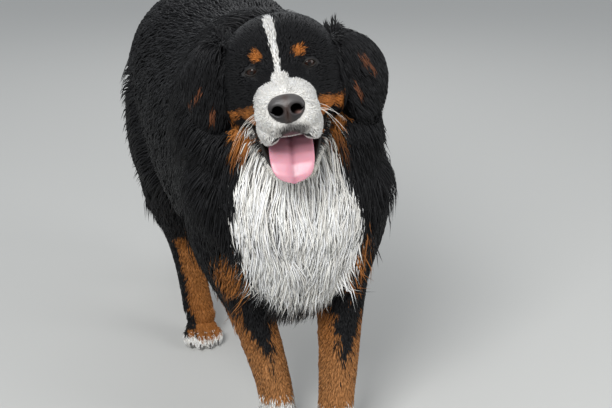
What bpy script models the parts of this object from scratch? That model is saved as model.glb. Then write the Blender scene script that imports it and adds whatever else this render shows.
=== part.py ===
"""A life-size Bernese mountain dog, standing with its mouth open and its tongue out.

Metres, +Z up. The nose points to -Y, the dog's own left is +X, and the origin is on the floor
at the middle of the dog's box.
"""

import math

import bmesh
import bpy
import numpy as np
from mathutils import Euler, Matrix, Vector
from mathutils.bvhtree import BVHTree

# Driving sizes of the breed, in metres, beside the sections of each part further down
EYE_RADIUS = 0.0115
NOSE_WIDTH = 0.049
EAR_THICKNESS = 0.008
GAP = 0.0003
# Points closer than this are one, and the shares of the gap that a cut is tried with
WELD = 0.000002
CUT_SHARES = (0.8, 0.86, 0.74)
# Brings the middle of the dog's box over the origin
ORIGIN_SHIFT = Vector((0, -0.0621, 0))
# The core's part of the coat where it is long, with the rest of the depth left to the locks, and
# its part where the coat is short
CORE_SHARE = 0.30
CORE_LEAST = 0.005
SHORT_SHARE = 0.9

# Where the skull's centre is, and how the head is turned: towards the dog's right, up and tilted
HEAD_CENTRE = Vector((-0.030, -0.348, 0.6695))
HEAD_YAW = math.radians(-14.2)
HEAD_PITCH = math.radians(-3.5)
HEAD_ROLL = math.radians(-9.0)
JAW_OPENING = math.radians(19.5)
JAW_SWAY = math.radians(4.0)

# Grid sizes
RING_SIDES = 32
BODY_VOXEL = 0.008
HEAD_VOXEL = 0.0034
HEAD_TRIANGLES = 1500
BODY_TRIANGLES = 2000
PAW_VOXEL = 0.004
PAW_TRIANGLES = 340
PAW_CUT = 0.058


def head_matrix():
    """Places the head's own frame, whose -Y points along the muzzle, in the dog's frame."""
    turn = Euler((HEAD_PITCH, 0, 0)).to_matrix() @ Euler((0, HEAD_ROLL, 0)).to_matrix()
    turn = Euler((0, 0, HEAD_YAW)).to_matrix() @ turn
    return Matrix.Translation(HEAD_CENTRE) @ turn.to_4x4()


# Sections along each part, from end to end. Each row is the centre x, y, z, the half width, the
# reach to the up or rear side, the reach to the down or front side, and the coat's depth.
TORSO = [
    (0, -0.385, 0.450, 0.040, 0.040, 0.040, 0.030),
    (0, -0.345, 0.460, 0.092, 0.100, 0.100, 0.040),
    (0, -0.260, 0.480, 0.122, 0.175, 0.158, 0.040),
    (0, -0.140, 0.490, 0.132, 0.196, 0.178, 0.035),
    (0, 0.010, 0.495, 0.146, 0.186, 0.177, 0.035),
    (0, 0.150, 0.503, 0.146, 0.177, 0.155, 0.035),
    (0, 0.270, 0.516, 0.140, 0.160, 0.125, 0.035),
    (0, 0.360, 0.524, 0.118, 0.132, 0.105, 0.035),
    (0, 0.425, 0.530, 0.078, 0.092, 0.078, 0.035),
    (0, 0.455, 0.540, 0.035, 0.045, 0.035, 0.030),
]
NECK = [
    (0.000, -0.130, 0.520, 0.080, 0.100, 0.080, 0.030),
    (0.000, -0.190, 0.540, 0.114, 0.140, 0.135, 0.045),
    (-0.006, -0.245, 0.580, 0.102, 0.118, 0.125, 0.055),
    (-0.016, -0.290, 0.622, 0.090, 0.098, 0.108, 0.050),
    (-0.026, -0.325, 0.650, 0.078, 0.080, 0.090, 0.015),
    (-0.030, -0.345, 0.664, 0.050, 0.050, 0.050, 0.005),
]
FORELEG_LEFT = [
    (0.088, -0.265, 0.500, 0.035, 0.045, 0.045, 0.020),
    (0.096, -0.290, 0.450, 0.052, 0.080, 0.062, 0.025),
    (0.100, -0.275, 0.385, 0.048, 0.072, 0.056, 0.022),
    (0.098, -0.262, 0.325, 0.041, 0.055, 0.048, 0.016),
    (0.089, -0.286, 0.245, 0.033, 0.040, 0.038, 0.010),
    (0.077, -0.312, 0.160, 0.029, 0.031, 0.033, 0.009),
    (0.069, -0.325, 0.095, 0.027, 0.028, 0.029, 0.009),
    (0.066, -0.330, 0.050, 0.029, 0.030, 0.030, 0.009),
]
FORELEG_RIGHT = [
    (-0.088, -0.245, 0.500, 0.035, 0.045, 0.045, 0.020),
    (-0.096, -0.268, 0.450, 0.052, 0.080, 0.062, 0.025),
    (-0.096, -0.245, 0.385, 0.048, 0.072, 0.056, 0.022),
    (-0.084, -0.228, 0.325, 0.041, 0.055, 0.048, 0.016),
    (-0.059, -0.240, 0.245, 0.033, 0.040, 0.038, 0.010),
    (-0.037, -0.256, 0.160, 0.029, 0.031, 0.033, 0.009),
    (-0.023, -0.265, 0.095, 0.027, 0.028, 0.029, 0.009),
    (-0.019, -0.270, 0.050, 0.029, 0.030, 0.030, 0.009),
]
HINDLEG_LEFT = [
    (0.070, 0.300, 0.560, 0.045, 0.070, 0.070, 0.025),
    (0.088, 0.290, 0.500, 0.070, 0.125, 0.095, 0.030),
    (0.104, 0.255, 0.420, 0.066, 0.118, 0.085, 0.030),
    (0.110, 0.230, 0.350, 0.052, 0.085, 0.062, 0.025),
    (0.107, 0.275, 0.275, 0.038, 0.052, 0.042, 0.014),
    (0.103, 0.345, 0.195, 0.027, 0.036, 0.030, 0.010),
    (0.101, 0.362, 0.150, 0.026, 0.029, 0.027, 0.009),
    (0.100, 0.366, 0.100, 0.026, 0.026, 0.027, 0.009),
    (0.100, 0.366, 0.050, 0.028, 0.028, 0.028, 0.009),
]
HINDLEG_RIGHT = [
    (-0.070, 0.300, 0.560, 0.045, 0.070, 0.070, 0.025),
    (-0.088, 0.275, 0.500, 0.070, 0.125, 0.095, 0.030),
    (-0.102, 0.215, 0.425, 0.066, 0.115, 0.085, 0.030),
    (-0.108, 0.180, 0.360, 0.052, 0.080, 0.062, 0.025),
    (-0.100, 0.200, 0.280, 0.038, 0.052, 0.042, 0.014),
    (-0.086, 0.228, 0.200, 0.027, 0.036, 0.030, 0.010),
    (-0.077, 0.218, 0.150, 0.026, 0.029, 0.027, 0.009),
    (-0.071, 0.198, 0.100, 0.026, 0.026, 0.027, 0.009),
    (-0.067, 0.180, 0.055, 0.028, 0.028, 0.028, 0.009),
]
TAIL = [
    (0.000, 0.400, 0.580, 0.022, 0.022, 0.022, 0.010),
    (0.000, 0.450, 0.580, 0.026, 0.024, 0.024, 0.022),
    (0.003, 0.495, 0.535, 0.022, 0.021, 0.021, 0.040),
    (0.006, 0.525, 0.445, 0.018, 0.018, 0.018, 0.060),
    (0.010, 0.538, 0.350, 0.015, 0.015, 0.015, 0.065),
    (0.014, 0.550, 0.270, 0.012, 0.012, 0.012, 0.060),
    (0.018, 0.568, 0.205, 0.008, 0.008, 0.008, 0.040),
    (0.020, 0.580, 0.180, 0.004, 0.004, 0.004, 0.020),
]

# Sections of the skull and upper jaw in the head's own frame: distance ahead of the skull's
# centre, top, bottom, half width, and the section's boxiness, where 2 is an ellipse
SKULL = [
    (-0.104, 0.022, -0.026, 0.026, 2.0),
    (-0.090, 0.052, -0.054, 0.058, 2.0),
    (-0.050, 0.072, -0.076, 0.080, 2.1),
    (0.000, 0.076, -0.086, 0.087, 2.2),
    (0.035, 0.069, -0.086, 0.083, 2.3),
    (0.060, 0.050, -0.083, 0.070, 2.3),
    (0.080, 0.024, -0.080, 0.054, 2.3),
    (0.105, 0.009, -0.078, 0.0455, 2.5),
    (0.135, 0.003, -0.077, 0.0445, 2.6),
    (0.158, -0.002, -0.073, 0.0415, 2.5),
    (0.170, -0.011, -0.064, 0.033, 2.3),
    (0.175, -0.024, -0.052, 0.018, 2.0),
]
# The lower jaw before it opens: the same columns
JAW = [
    (-0.030, -0.052, -0.085, 0.040, 2.0),
    (0.000, -0.054, -0.098, 0.054, 2.2),
    (0.040, -0.060, -0.104, 0.054, 2.3),
    (0.075, -0.066, -0.105, 0.045, 2.3),
    (0.110, -0.071, -0.104, 0.038, 2.3),
    (0.138, -0.075, -0.101, 0.030, 2.2),
    (0.151, -0.079, -0.096, 0.018, 2.0),
    (0.155, -0.083, -0.091, 0.008, 2.0),
]
# The tongue on the jaw: distance ahead, height of its middle, half width and half thickness
TONGUE = [
    (0.005, -0.062, 0.022, 0.0060),
    (0.040, -0.060, 0.029, 0.0075),
    (0.080, -0.061, 0.031, 0.0070),
    (0.115, -0.066, 0.031, 0.0060),
    (0.134, -0.071, 0.029, 0.0050),
    (0.146, -0.077, 0.024, 0.0042),
    (0.153, -0.084, 0.015, 0.0034),
    (0.156, -0.090, 0.005, 0.0024),
]
JAW_HINGE = Vector((0, -0.005, -0.050))

# The ear's flap from root to tip in the head's frame, on the left side: the middle of its width
# and its half width, and beside it the direction of its width
EAR_SPINE = [
    (0.060, 0.016, 0.044, 0.026),
    (0.084, 0.014, 0.054, 0.034),
    (0.104, 0.014, 0.040, 0.044),
    (0.115, 0.016, 0.008, 0.048),
    (0.116, 0.018, -0.030, 0.042),
    (0.110, 0.018, -0.062, 0.026),
    (0.106, 0.018, -0.076, 0.012),
]
EAR_ACROSS = [
    (0.00, 1.0, 0.30),
    (0.20, 1.0, 0.20),
    (0.50, 1.0, 0.10),
    (0.70, 1.0, 0.00),
    (0.75, 1.0, 0.00),
    (0.75, 1.0, 0.00),
    (0.75, 1.0, 0.00),
]
EAR_CUP = 0.30
# How each ear is carried, the right one as -1: its reach to the side, and how much lower it is set
EAR_CARRIAGE = {-1: (1.02, 0.004), 1: (1.06, 0.020)}


def through(rows, count):
    """A smooth curve through the rows: each stretch is the cubic whose slopes at its two ends are
    half the step between the rows on either side."""
    rows = np.asarray(rows, float)
    slopes = np.gradient(rows, axis=0)
    at = np.linspace(0, len(rows) - 1, count)
    i = np.minimum(at.astype(int), len(rows) - 2)
    t = (at - i)[:, None]
    return (
        (2 * t**3 - 3 * t**2 + 1) * rows[i]
        + (t**3 - 2 * t**2 + t) * slopes[i]
        + (3 * t**2 - 2 * t**3) * rows[i + 1]
        + (t**3 - t**2) * slopes[i + 1]
    )


def tube(centres, across, up, half, rise, drop, boxy, sides=RING_SIDES):
    """Rings of points about the centres. At angle a a ring's point is out by half * cos(a) across
    and by rise or drop * sin(a) up, each to the power 2 / boxy, and the ends close in a point."""
    angle = np.arange(sides) * 2 * np.pi / sides
    c, s = np.cos(angle)[None, :], np.sin(angle)[None, :]
    power = 2 / boxy[:, None]
    cx = np.sign(c) * np.abs(c) ** power
    sx = np.sign(s) * np.abs(s) ** power
    reach = np.where(s > 0, rise[:, None], drop[:, None])
    rings = (
        centres[:, None, :]
        + across[:, None, :] * (half[:, None] * cx)[:, :, None]
        + up[:, None, :] * (reach * sx)[:, :, None]
    )
    points = np.vstack([rings.reshape(-1, 3), centres[:1], centres[-1:]])
    n = len(centres)
    faces = []
    for ring in range(n - 1):
        for k in range(sides):
            a, b = ring * sides + k, ring * sides + (k + 1) % sides
            faces.append((a, b, b + sides, a + sides))
    first, last = n * sides, n * sides + 1
    for k in range(sides):
        faces.append(((k + 1) % sides, k, first))
        faces.append(((n - 1) * sides + k, (n - 1) * sides + (k + 1) % sides, last))
    return points, faces


def core_depth(coat):
    return np.minimum(SHORT_SHARE * coat, CORE_SHARE * coat + CORE_LEAST)


def limb(rows, rings=40):
    """A body part from its rows, thicker than the skin by the core's part of the coat."""
    rows = through(rows, rings)
    rows[:, 3:] = np.maximum(rows[:, 3:], 0.002)
    centres = rows[:, :3]
    along = np.gradient(centres, axis=0)
    along /= np.linalg.norm(along, axis=1)[:, None]
    across = np.array([1.0, 0, 0]) - along * along[:, :1]
    across /= np.linalg.norm(across, axis=1)[:, None]
    up = np.cross(across, along)
    grown = rows[:, 3:6] + core_depth(rows[:, 6:7])
    return tube(centres, across, up, grown[:, 0], grown[:, 1], grown[:, 2], np.full(rings, 2.15))


def head_form(rows, grow, rings=44, sides=RING_SIDES):
    """The skull or the jaw from its rows, in the head's own frame."""
    rows = through(rows, rings)
    half = np.maximum(rows[:, 3], 0.004) + grow
    middle = (rows[:, 1] + rows[:, 2]) / 2
    tall = np.maximum((rows[:, 1] - rows[:, 2]) / 2, 0.004) + grow
    centres = np.stack([np.zeros(rings), -rows[:, 0], middle], axis=1)
    across = np.tile([1.0, 0, 0], (rings, 1))
    up = np.tile([0, 0, 1.0], (rings, 1))
    return tube(centres, -across, up, half, tall, tall, rows[:, 4], sides)


def mesh_object(name, points, faces, collection=None):
    """A new object in the collection from points and faces, with its faces turned outwards."""
    mesh = bpy.data.meshes.new(name)
    mesh.from_pydata([tuple(p) for p in points], [], faces)
    shape = bmesh.new()
    shape.from_mesh(mesh)
    bmesh.ops.recalc_face_normals(shape, faces=shape.faces)
    shape.to_mesh(mesh)
    shape.free()
    made = bpy.data.objects.new(name, mesh)
    (collection or bpy.context.scene.collection).objects.link(made)
    return made


def ball(name, centre, radii, turn=None, rings=8, sides=12):
    """An ellipsoid with these half sizes, turned by an Euler angle and moved to its centre."""
    shape = bmesh.new()
    bmesh.ops.create_uvsphere(shape, u_segments=sides, v_segments=rings, radius=1)
    place = Matrix.Diagonal((*radii, 1))
    if turn:
        place = Euler(turn).to_matrix().to_4x4() @ place
    bmesh.ops.transform(shape, matrix=Matrix.Translation(centre) @ place, verts=shape.verts)
    return from_bmesh(name, shape)


def box(name, low, high, place=None):
    """A box between two corners, then moved and turned by a matrix."""
    low, high = Vector(low), Vector(high)
    shape = bmesh.new()
    bmesh.ops.create_cube(shape, size=1)
    place = (place or Matrix()) @ Matrix.Translation((low + high) / 2)
    place = place @ Matrix.Diagonal((*(high - low), 1))
    bmesh.ops.transform(shape, matrix=place, verts=shape.verts)
    return from_bmesh(name, shape)


def from_bmesh(name, shape):
    mesh = bpy.data.meshes.new(name)
    shape.to_mesh(mesh)
    shape.free()
    made = bpy.data.objects.new(name, mesh)
    bpy.context.scene.collection.objects.link(made)
    return made


def moved(made, matrix):
    """The object with the matrix applied to its mesh."""
    made.data.transform(matrix)
    return made


def drop(*objects):
    for made in objects:
        bpy.data.objects.remove(made)


def copy_of(made, name):
    twin = bpy.data.objects.new(name, made.data.copy())
    bpy.context.scene.collection.objects.link(twin)
    return twin


def settle(made):
    """Turns the object's modifiers into its mesh."""
    graph = bpy.context.evaluated_depsgraph_get()
    mesh = bpy.data.meshes.new_from_object(made.evaluated_get(graph))
    made.modifiers.clear()
    made.data = mesh
    return made


def boolean(made, operation, others, solver="MANIFOLD"):
    """Joins the others to the object, or cuts them from it, or keeps what they share, and removes
    them."""
    group = bpy.data.collections.new("operands")
    for other in others:
        group.objects.link(other)
    step = made.modifiers.new(operation.lower(), "BOOLEAN")
    step.operation = operation
    step.solver = solver
    step.operand_type = "COLLECTION"
    step.collection = group
    settle(made)
    drop(*others)
    bpy.data.collections.remove(group)
    return made


def fused(name, pieces, voxel, smooth, triangles):
    """One closed skin round overlapping pieces, smoothed and brought down to a count of
    triangles."""
    shape = bmesh.new()
    for piece in pieces:
        shape.from_mesh(piece.data)
    drop(*pieces)
    made = from_bmesh(name, shape)
    remesh = made.modifiers.new("skin", "REMESH")
    remesh.mode = "VOXEL"
    remesh.voxel_size = voxel
    soften = made.modifiers.new("soften", "SMOOTH")
    soften.factor = 0.5
    soften.iterations = smooth
    thin = made.modifiers.new("thin", "DECIMATE")
    thin.use_collapse_triangulate = True
    settle_count(made, thin, triangles)
    return made


def settle_count(made, thin, triangles):
    """Settles the object with its Decimate set to leave about this many triangles."""
    thin.ratio = 1
    graph = bpy.context.evaluated_depsgraph_get()
    mesh = made.evaluated_get(graph).to_mesh()
    mesh.calc_loop_triangles()
    thin.ratio = min(1, triangles / len(mesh.loop_triangles))
    settle(made)


def hull_of(made):
    """The closed shape that a sheet drawn tight round the object would have."""
    shape = bmesh.new()
    for vert in made.data.vertices:
        shape.verts.new(vert.co)
    bmesh.ops.convex_hull(shape, input=shape.verts)
    bmesh.ops.delete(shape, geom=[v for v in shape.verts if not v.link_faces], context="VERTS")
    return from_bmesh("hull", shape)


def largest(made):
    """Keeps the object's largest closed surface, of faces that meet edge to edge."""
    shape = bmesh.new()
    shape.from_mesh(made.data)
    left, islands = set(shape.faces), []
    while left:
        island, front = set(), [next(iter(left))]
        while front:
            face = front.pop()
            if face in island:
                continue
            island.add(face)
            front.extend(other for edge in face.edges for other in edge.link_faces)
        left -= island
        islands.append(island)
    main = max(islands, key=box_volume)
    scraps = [face for island in islands if island is not main for face in island]
    bmesh.ops.delete(shape, geom=scraps, context="FACES")
    bmesh.ops.delete(shape, geom=[e for e in shape.edges if not e.link_faces], context="EDGES")
    bmesh.ops.delete(shape, geom=[v for v in shape.verts if not v.link_faces], context="VERTS")
    shape.to_mesh(made.data)
    shape.free()
    return made


def box_volume(faces):
    """The volume of the box round the faces."""
    points = np.array([vert.co for face in faces for vert in face.verts])
    return float(np.prod(np.ptp(points, axis=0) + 1e-6))


def grown_copy(made, by):
    """A copy of the object with each point moved out along its normal."""
    twin = copy_of(made, "grown")
    swell = twin.modifiers.new("swell", "DISPLACE")
    swell.strength = by
    swell.mid_level = 0
    return settle(twin)


def mend(made):
    """Welds points that a cut left closer than a hair's width, and takes out the walls of no
    thickness that this leaves."""
    shape = bmesh.new()
    shape.from_mesh(made.data)
    bmesh.ops.remove_doubles(shape, verts=shape.verts, dist=WELD)
    bmesh.ops.triangulate(shape, faces=shape.faces)
    seen = {}
    for face in shape.faces:
        seen.setdefault(frozenset(face.verts), []).append(face)
    flat = [face for faces in seen.values() if len(faces) > 1 for face in faces]
    bmesh.ops.delete(shape, geom=flat, context="FACES")
    bmesh.ops.delete(shape, geom=[e for e in shape.edges if not e.link_faces], context="EDGES")
    bmesh.ops.delete(shape, geom=[v for v in shape.verts if not v.link_faces], context="VERTS")
    shape.to_mesh(made.data)
    shape.free()
    return made


def sound(made):
    """Whether each edge of the object joins just two faces, also with points closer than the weld
    taken as one."""
    shape = bmesh.new()
    shape.from_mesh(made.data)
    bmesh.ops.remove_doubles(shape, verts=shape.verts, dist=WELD / 10)
    closed = all(len(edge.link_faces) == 2 for edge in shape.edges)
    shape.free()
    return closed


def clear_of(made, others):
    """Cuts the object clear of its neighbours by a thin gap, and of any corner of theirs that the
    gap missed, with the first gap that leaves a sound mesh."""
    for other in others:
        for share in CUT_SHARES:
            tried = copy_of(made, "tried")
            boolean(tried, "DIFFERENCE", [copy_of(other, "corner")])
            boolean(tried, "DIFFERENCE", [grown_copy(other, share * GAP)])
            largest(mend(tried))
            made.data, before = tried.data, made.data
            drop(tried)
            if sound(made):
                break
            made.data = before if share != CUT_SHARES[-1] else made.data
    return made


def paint(made, name, colour, roughness):
    """Gives the object a Principled material of its own."""
    finish = bpy.data.materials.new(name)
    finish.use_nodes = True
    shader = finish.node_tree.nodes["Principled BSDF"]
    shader.inputs["Base Color"].default_value = (*colour, 1)
    shader.inputs["Roughness"].default_value = roughness
    shader.inputs["Metallic"].default_value = 0
    made.data.materials.clear()
    made.data.materials.append(finish)


# Each toe of a paw: how far to the side and ahead of the paw's middle its centre is
TOES = [(-0.029, 0.022), (-0.010, 0.036), (0.010, 0.036), (0.029, 0.022)]
PAWS = {
    "forepaw_left": (Vector((0.066, -0.344, 0)), math.radians(3), 1.0),
    "forepaw_right": (Vector((-0.019, -0.284, 0)), math.radians(-4), 1.0),
    "hindpaw_left": (Vector((0.100, 0.348, 0)), math.radians(5), 0.92),
    "hindpaw_right": (Vector((-0.066, 0.160, 0)), math.radians(-5), 0.92),
}


def paw_pieces(place, size):
    """The pad, the four toes and the back of a paw, overlapping, with the toes to -Y."""
    pieces = [
        ball("palm", (0, 0.004, 0.024), (0.037, 0.040, 0.030)),
        ball("wrist", (0, 0.014, 0.050), (0.031, 0.030, 0.030)),
    ]
    for side, ahead in TOES:
        pieces.append(ball("toe", (side, -ahead, 0.017), (0.0145, 0.029, 0.021), (0.12, 0, 0)))
    scale = Matrix.Diagonal((size, size, size, 1))
    return [moved(piece, place @ scale) for piece in pieces]


def claw_pieces(place, size):
    """A short blunt claw at the front of each toe."""
    claws = []
    for side, ahead in TOES:
        shape = bmesh.new()
        bmesh.ops.create_cone(
            shape, cap_ends=True, segments=6, radius1=0.0040, radius2=0.0012, depth=0.016
        )
        claw = from_bmesh("claw", shape)
        lean = Euler((math.radians(112), 0, 0)).to_matrix().to_4x4()
        tip = Matrix.Translation((side * 1.08, -ahead - 0.028, 0.011))
        claws.append(moved(claw, place @ Matrix.Scale(size, 4) @ tip @ lean))
    return claws


def build_paw(name, leg_rows):
    """A paw with toes and claws, its flat sole on the floor, up to the cut that parts it from its
    leg."""
    centre, heading, size = PAWS[name]
    place = Matrix.Translation(centre) @ Matrix.Rotation(heading, 4, "Z")
    pieces = paw_pieces(place, size)
    pieces.append(mesh_object("pastern", *limb(leg_rows)))
    made = fused(name, pieces, PAW_VOXEL, 2, PAW_TRIANGLES)
    boolean(made, "UNION", claw_pieces(place, size))
    room = box("room", (-1, -1, 0), (1, 1, PAW_CUT - GAP / 2))
    boolean(made, "INTERSECT", [room])
    return largest(made)


EYE_PLACE = Vector((0.0395, -0.0625, 0.012))
NOSE_PLACE = Vector((0, -0.166, -0.031))
CHEEK = ((0.060, -0.006, -0.032), (0.030, 0.045, 0.044))
BROW = ((0.034, -0.050, 0.033), (0.022, 0.017, 0.013))
FLEW = ((0.030, -0.112, -0.066), (0.017, 0.046, 0.023))


def mirrored(at, side):
    return Vector((at[0] * side, at[1], at[2]))


def open_jaw():
    """Swings the lower jaw down about its hinge, and a little to the dog's right."""
    hinge = Matrix.Translation(JAW_HINGE)
    swing = Matrix.Rotation(JAW_SWAY, 4, "Y") @ Matrix.Rotation(JAW_OPENING, 4, "X")
    return hinge @ swing @ hinge.inverted()


def build_nose(grow=0.0):
    """The nose leather: a rounded block, with two comma-shaped nostrils and the groove between
    them."""
    half = NOSE_WIDTH / 2 + grow
    made = ball("nose", NOSE_PLACE, (half, 0.013 + grow, 0.0185 + grow), rings=8, sides=12)
    upper = ball("bridge", NOSE_PLACE + Vector((0, 0.004, 0.005)), (half * 0.94, 0.014, 0.0145))
    boolean(made, "UNION", [upper])
    if grow:
        return made
    cuts = []
    for side in (-1, 1):
        at = NOSE_PLACE + Vector((side * 0.0125, -0.011, -0.001))
        cuts.append(ball("nostril", at, (0.0062, 0.009, 0.0052), (0, side * 0.5, side * 0.5), 6, 8))
        slit = NOSE_PLACE + Vector((side * 0.019, -0.0075, -0.0065))
        cuts.append(ball("slit", slit, (0.0062, 0.007, 0.0022), (0, side * 0.45, side * 0.7), 4, 6))
    cuts.append(ball("groove", NOSE_PLACE + Vector((0, -0.0145, -0.010)), (0.0010, 0.005, 0.014), None, 4, 6))
    boolean(made, "DIFFERENCE", cuts)
    return largest(made)


def build_tongue():
    """The tongue: flat ellipses along the jaw with a groove down the middle, over the lower lip."""
    rows = through(TONGUE, 13)
    n = len(rows)
    centres = np.stack([np.zeros(n), -rows[:, 0], rows[:, 1]], axis=1)
    along = np.gradient(centres, axis=0)
    along /= np.linalg.norm(along, axis=1)[:, None]
    across = np.tile([-1.0, 0, 0], (n, 1))
    up = np.cross(along, -across)
    up *= np.sign(up[:, 2:] + 1e-9)
    thick = np.maximum(rows[:, 3], 0.002)
    half = np.maximum(rows[:, 2], 0.004)
    points, faces = tube(centres, across, up, half, thick, thick, np.full(n, 2.2), sides=12)
    groove = np.exp(-((points[:, 0] / 0.006) ** 2)) * 0.0028
    cup = 0.005 * (points[:, 0] / 0.03) ** 2
    points[:, 2] += cup - groove * (np.abs(points[:, 0]) < 0.02)
    return moved(mesh_object("tongue", points, faces), open_jaw())


def almond(side):
    """The opening between the lids: a lens-shaped prism along the eye's gaze, with its corners
    inwards and outwards."""
    long, high = 0.0105, 0.0062
    turn = np.linspace(0, 2 * np.pi, 16, endpoint=False)
    ring = np.stack([np.cos(turn) * long, high * np.sign(np.sin(turn)) * np.abs(np.sin(turn)) ** 1.3])
    back = np.stack([ring[0] * 0.45, np.full(16, 0.0), ring[1] * 0.45], axis=1)
    front = np.stack([ring[0] * 1.6, np.full(16, -0.030), ring[1] * 1.6], axis=1)
    points = np.vstack([back, front])
    faces = [tuple(range(16)), tuple(range(31, 15, -1))]
    faces += [(k, (k + 1) % 16, 16 + (k + 1) % 16, 16 + k) for k in range(16)]
    made = mesh_object("almond", points, faces)
    gaze = Euler((math.radians(12), math.radians(8) * side, math.radians(24) * side))
    place = Matrix.Translation(mirrored(EYE_PLACE, side)) @ gaze.to_matrix().to_4x4()
    return moved(made, place)


def build_head():
    """The skull, upper jaw and cheeks with their lids, lips and mouth, up to the neck's cut."""
    pieces = [mesh_object("skull", *head_form(SKULL, 0))]
    for side in (-1, 1):
        for at, radii in (CHEEK, BROW, FLEW):
            pieces.append(ball("bulge", mirrored(at, side), radii))
    place = head_matrix()
    neck = moved(mesh_object("nape", *limb(NECK)), place.inverted())
    made = fused("head", pieces + [neck], HEAD_VOXEL, 3, HEAD_TRIANGLES)
    mouth = ball("mouth", (0, -0.085, -0.094), (0.031, 0.072, 0.034))
    crease = ball("philtrum", (0, -0.178, -0.060), (0.0012, 0.010, 0.016), None, 4, 6)
    boolean(made, "DIFFERENCE", [mouth, crease])
    lids = [ball("lid", mirrored(EYE_PLACE, side), [EYE_RADIUS + 0.0024] * 3) for side in (-1, 1)]
    boolean(made, "UNION", lids)
    sockets = [ball("socket", mirrored(EYE_PLACE, side), [EYE_RADIUS + GAP] * 3) for side in (-1, 1)]
    boolean(made, "DIFFERENCE", sockets + [almond(-1), almond(1), build_nose(GAP)])
    nape, ahead = (Vector(v) for v in NECK_TO_HEAD)
    room = moved(half_space(nape, ahead), place.inverted())
    boolean(made, "INTERSECT", [room])
    return largest(made)


def build_ear(side):
    """An ear's flap: rows across it from root to tip, bent into a cup that faces the head, with an
    even thickness."""
    spine = through(EAR_SPINE, 9)
    across = through(EAR_ACROSS, 9)
    across /= np.linalg.norm(across, axis=1)[:, None]
    v = np.linspace(-1, 1, 7)[None, :, None]
    along = np.gradient(spine[:, :3], axis=0)
    along /= np.linalg.norm(along, axis=1)[:, None]
    out = np.cross(along, across)
    out /= np.linalg.norm(out, axis=1)[:, None]
    half = spine[:, 3][:, None, None]
    grid = spine[:, None, :3] + across[:, None, :] * half * v
    grid = grid - out[:, None, :] * np.sign(out[:, None, :1]) * half * EAR_CUP * v**2
    reach, lower = EAR_CARRIAGE[side]
    grid = grid * np.array([side * reach, 1, 1]) - np.array([0, 0, lower])
    rows, columns = grid.shape[:2]
    faces = []
    for i in range(rows - 1):
        for k in range(columns - 1):
            a = i * columns + k
            faces.append((a, a + 1, a + columns + 1, a + columns))
    made = mesh_object("ear_" + ("left" if side > 0 else "right"), grid.reshape(-1, 3), faces)
    wall = made.modifiers.new("wall", "SOLIDIFY")
    wall.thickness = EAR_THICKNESS
    wall.offset = 0
    even = made.modifiers.new("even", "TRIANGULATE")
    even.keep_custom_normals = False
    return settle(made)


# Locks of the coat: their spacing and width are shares of their length
LOCK_LEAST_COAT = 0.018
NECK_LEAST_COAT = 0.045
BACK_FLATTER = 0.55
LOCK_HALF_WIDTH = 0.205
LOCK_THICKNESS = 0.009
LOCK_SINK = 0.010
LEG_SINK = 0.007
EAR_SINK = 0.003
LOCK_LENGTH = 2.6
LOCK_ADDED = 0.035
LOCK_MOST = 0.155
LOCK_TRIES = 4000
ROOT_REACH = 0.012
SAME_SKIN = 0.0025
LOCK_SEED = 13
LOCK_DRAWS = 12
LOCK_DRAW_STEP = 100
LIMBS = {
    "torso": TORSO,
    "neck": NECK,
    "tail": TAIL,
    "foreleg": FORELEG_LEFT,
    "foreleg_right": FORELEG_RIGHT,
    "thigh": HINDLEG_LEFT,
    "thigh_right": HINDLEG_RIGHT,
}


def limb_samples():
    """Centres along every limb, with each one's half width, coat, direction and limb."""
    rows, along, names = [], [], []
    for name, limb_rows in LIMBS.items():
        fine = through(limb_rows, 40)
        way = np.gradient(fine[:, :3], axis=0)
        rows.append(fine)
        along.append(way / np.linalg.norm(way, axis=1)[:, None])
        names += [name.split("_")[0]] * len(fine)
    return np.vstack(rows), np.vstack(along), names


def coat_and_lie(point, normal, samples):
    """The coat's length at a point of the skin, the direction it lies in, and how closely it
    clings to the body."""
    rows, along, names = samples
    away = np.linalg.norm(rows[:, :3] - point, axis=1) / (rows[:, 3:6].mean(axis=1) + 0.02)
    nearest = int(np.argmin(away))
    name, coat, way = names[nearest], rows[nearest, 6], along[nearest]
    front = max(0.0, -normal[1])
    rear = max(0.0, normal[1])
    below = max(0.0, -normal[2])
    if name == "torso":
        fall = 0.25 + 0.45 * abs(normal[0]) + 1.3 * front + 1.2 * rear
        lie = np.array([0.15 * normal[0], 0.9 - 1.1 * front - 0.5 * rear, -fall])
        coat = coat * (1 + 0.5 * below + 0.4 * front + 0.6 * rear)
        cling = 0.95 - 0.45 * below - 0.15 * rear
        share = 0.69 - 0.22 * front
    elif name == "neck":
        coat = max(coat, NECK_LEAST_COAT)
        lie = np.array([0.15 * normal[0], 0.75 - 0.9 * front, -0.65 - 0.6 * front])
        cling = 0.97
        share = 0.50 - 0.14 * front
    elif name == "tail":
        lie = way + 0.25 * normal
        cling = 0.45
        share = 0.50
    else:
        lie = np.array([0.1 * normal[0], 0.20 + 0.30 * rear, -0.95])
        shaggy = rear * np.clip((point[2] - 0.10) / 0.15, 0, 1)
        coat = coat + shaggy * (0.045 if name == "thigh" else 0.028)
        cling = 0.9 - 0.5 * rear
        share = 0.80
    return coat, lie / np.linalg.norm(lie), cling, share


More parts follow.
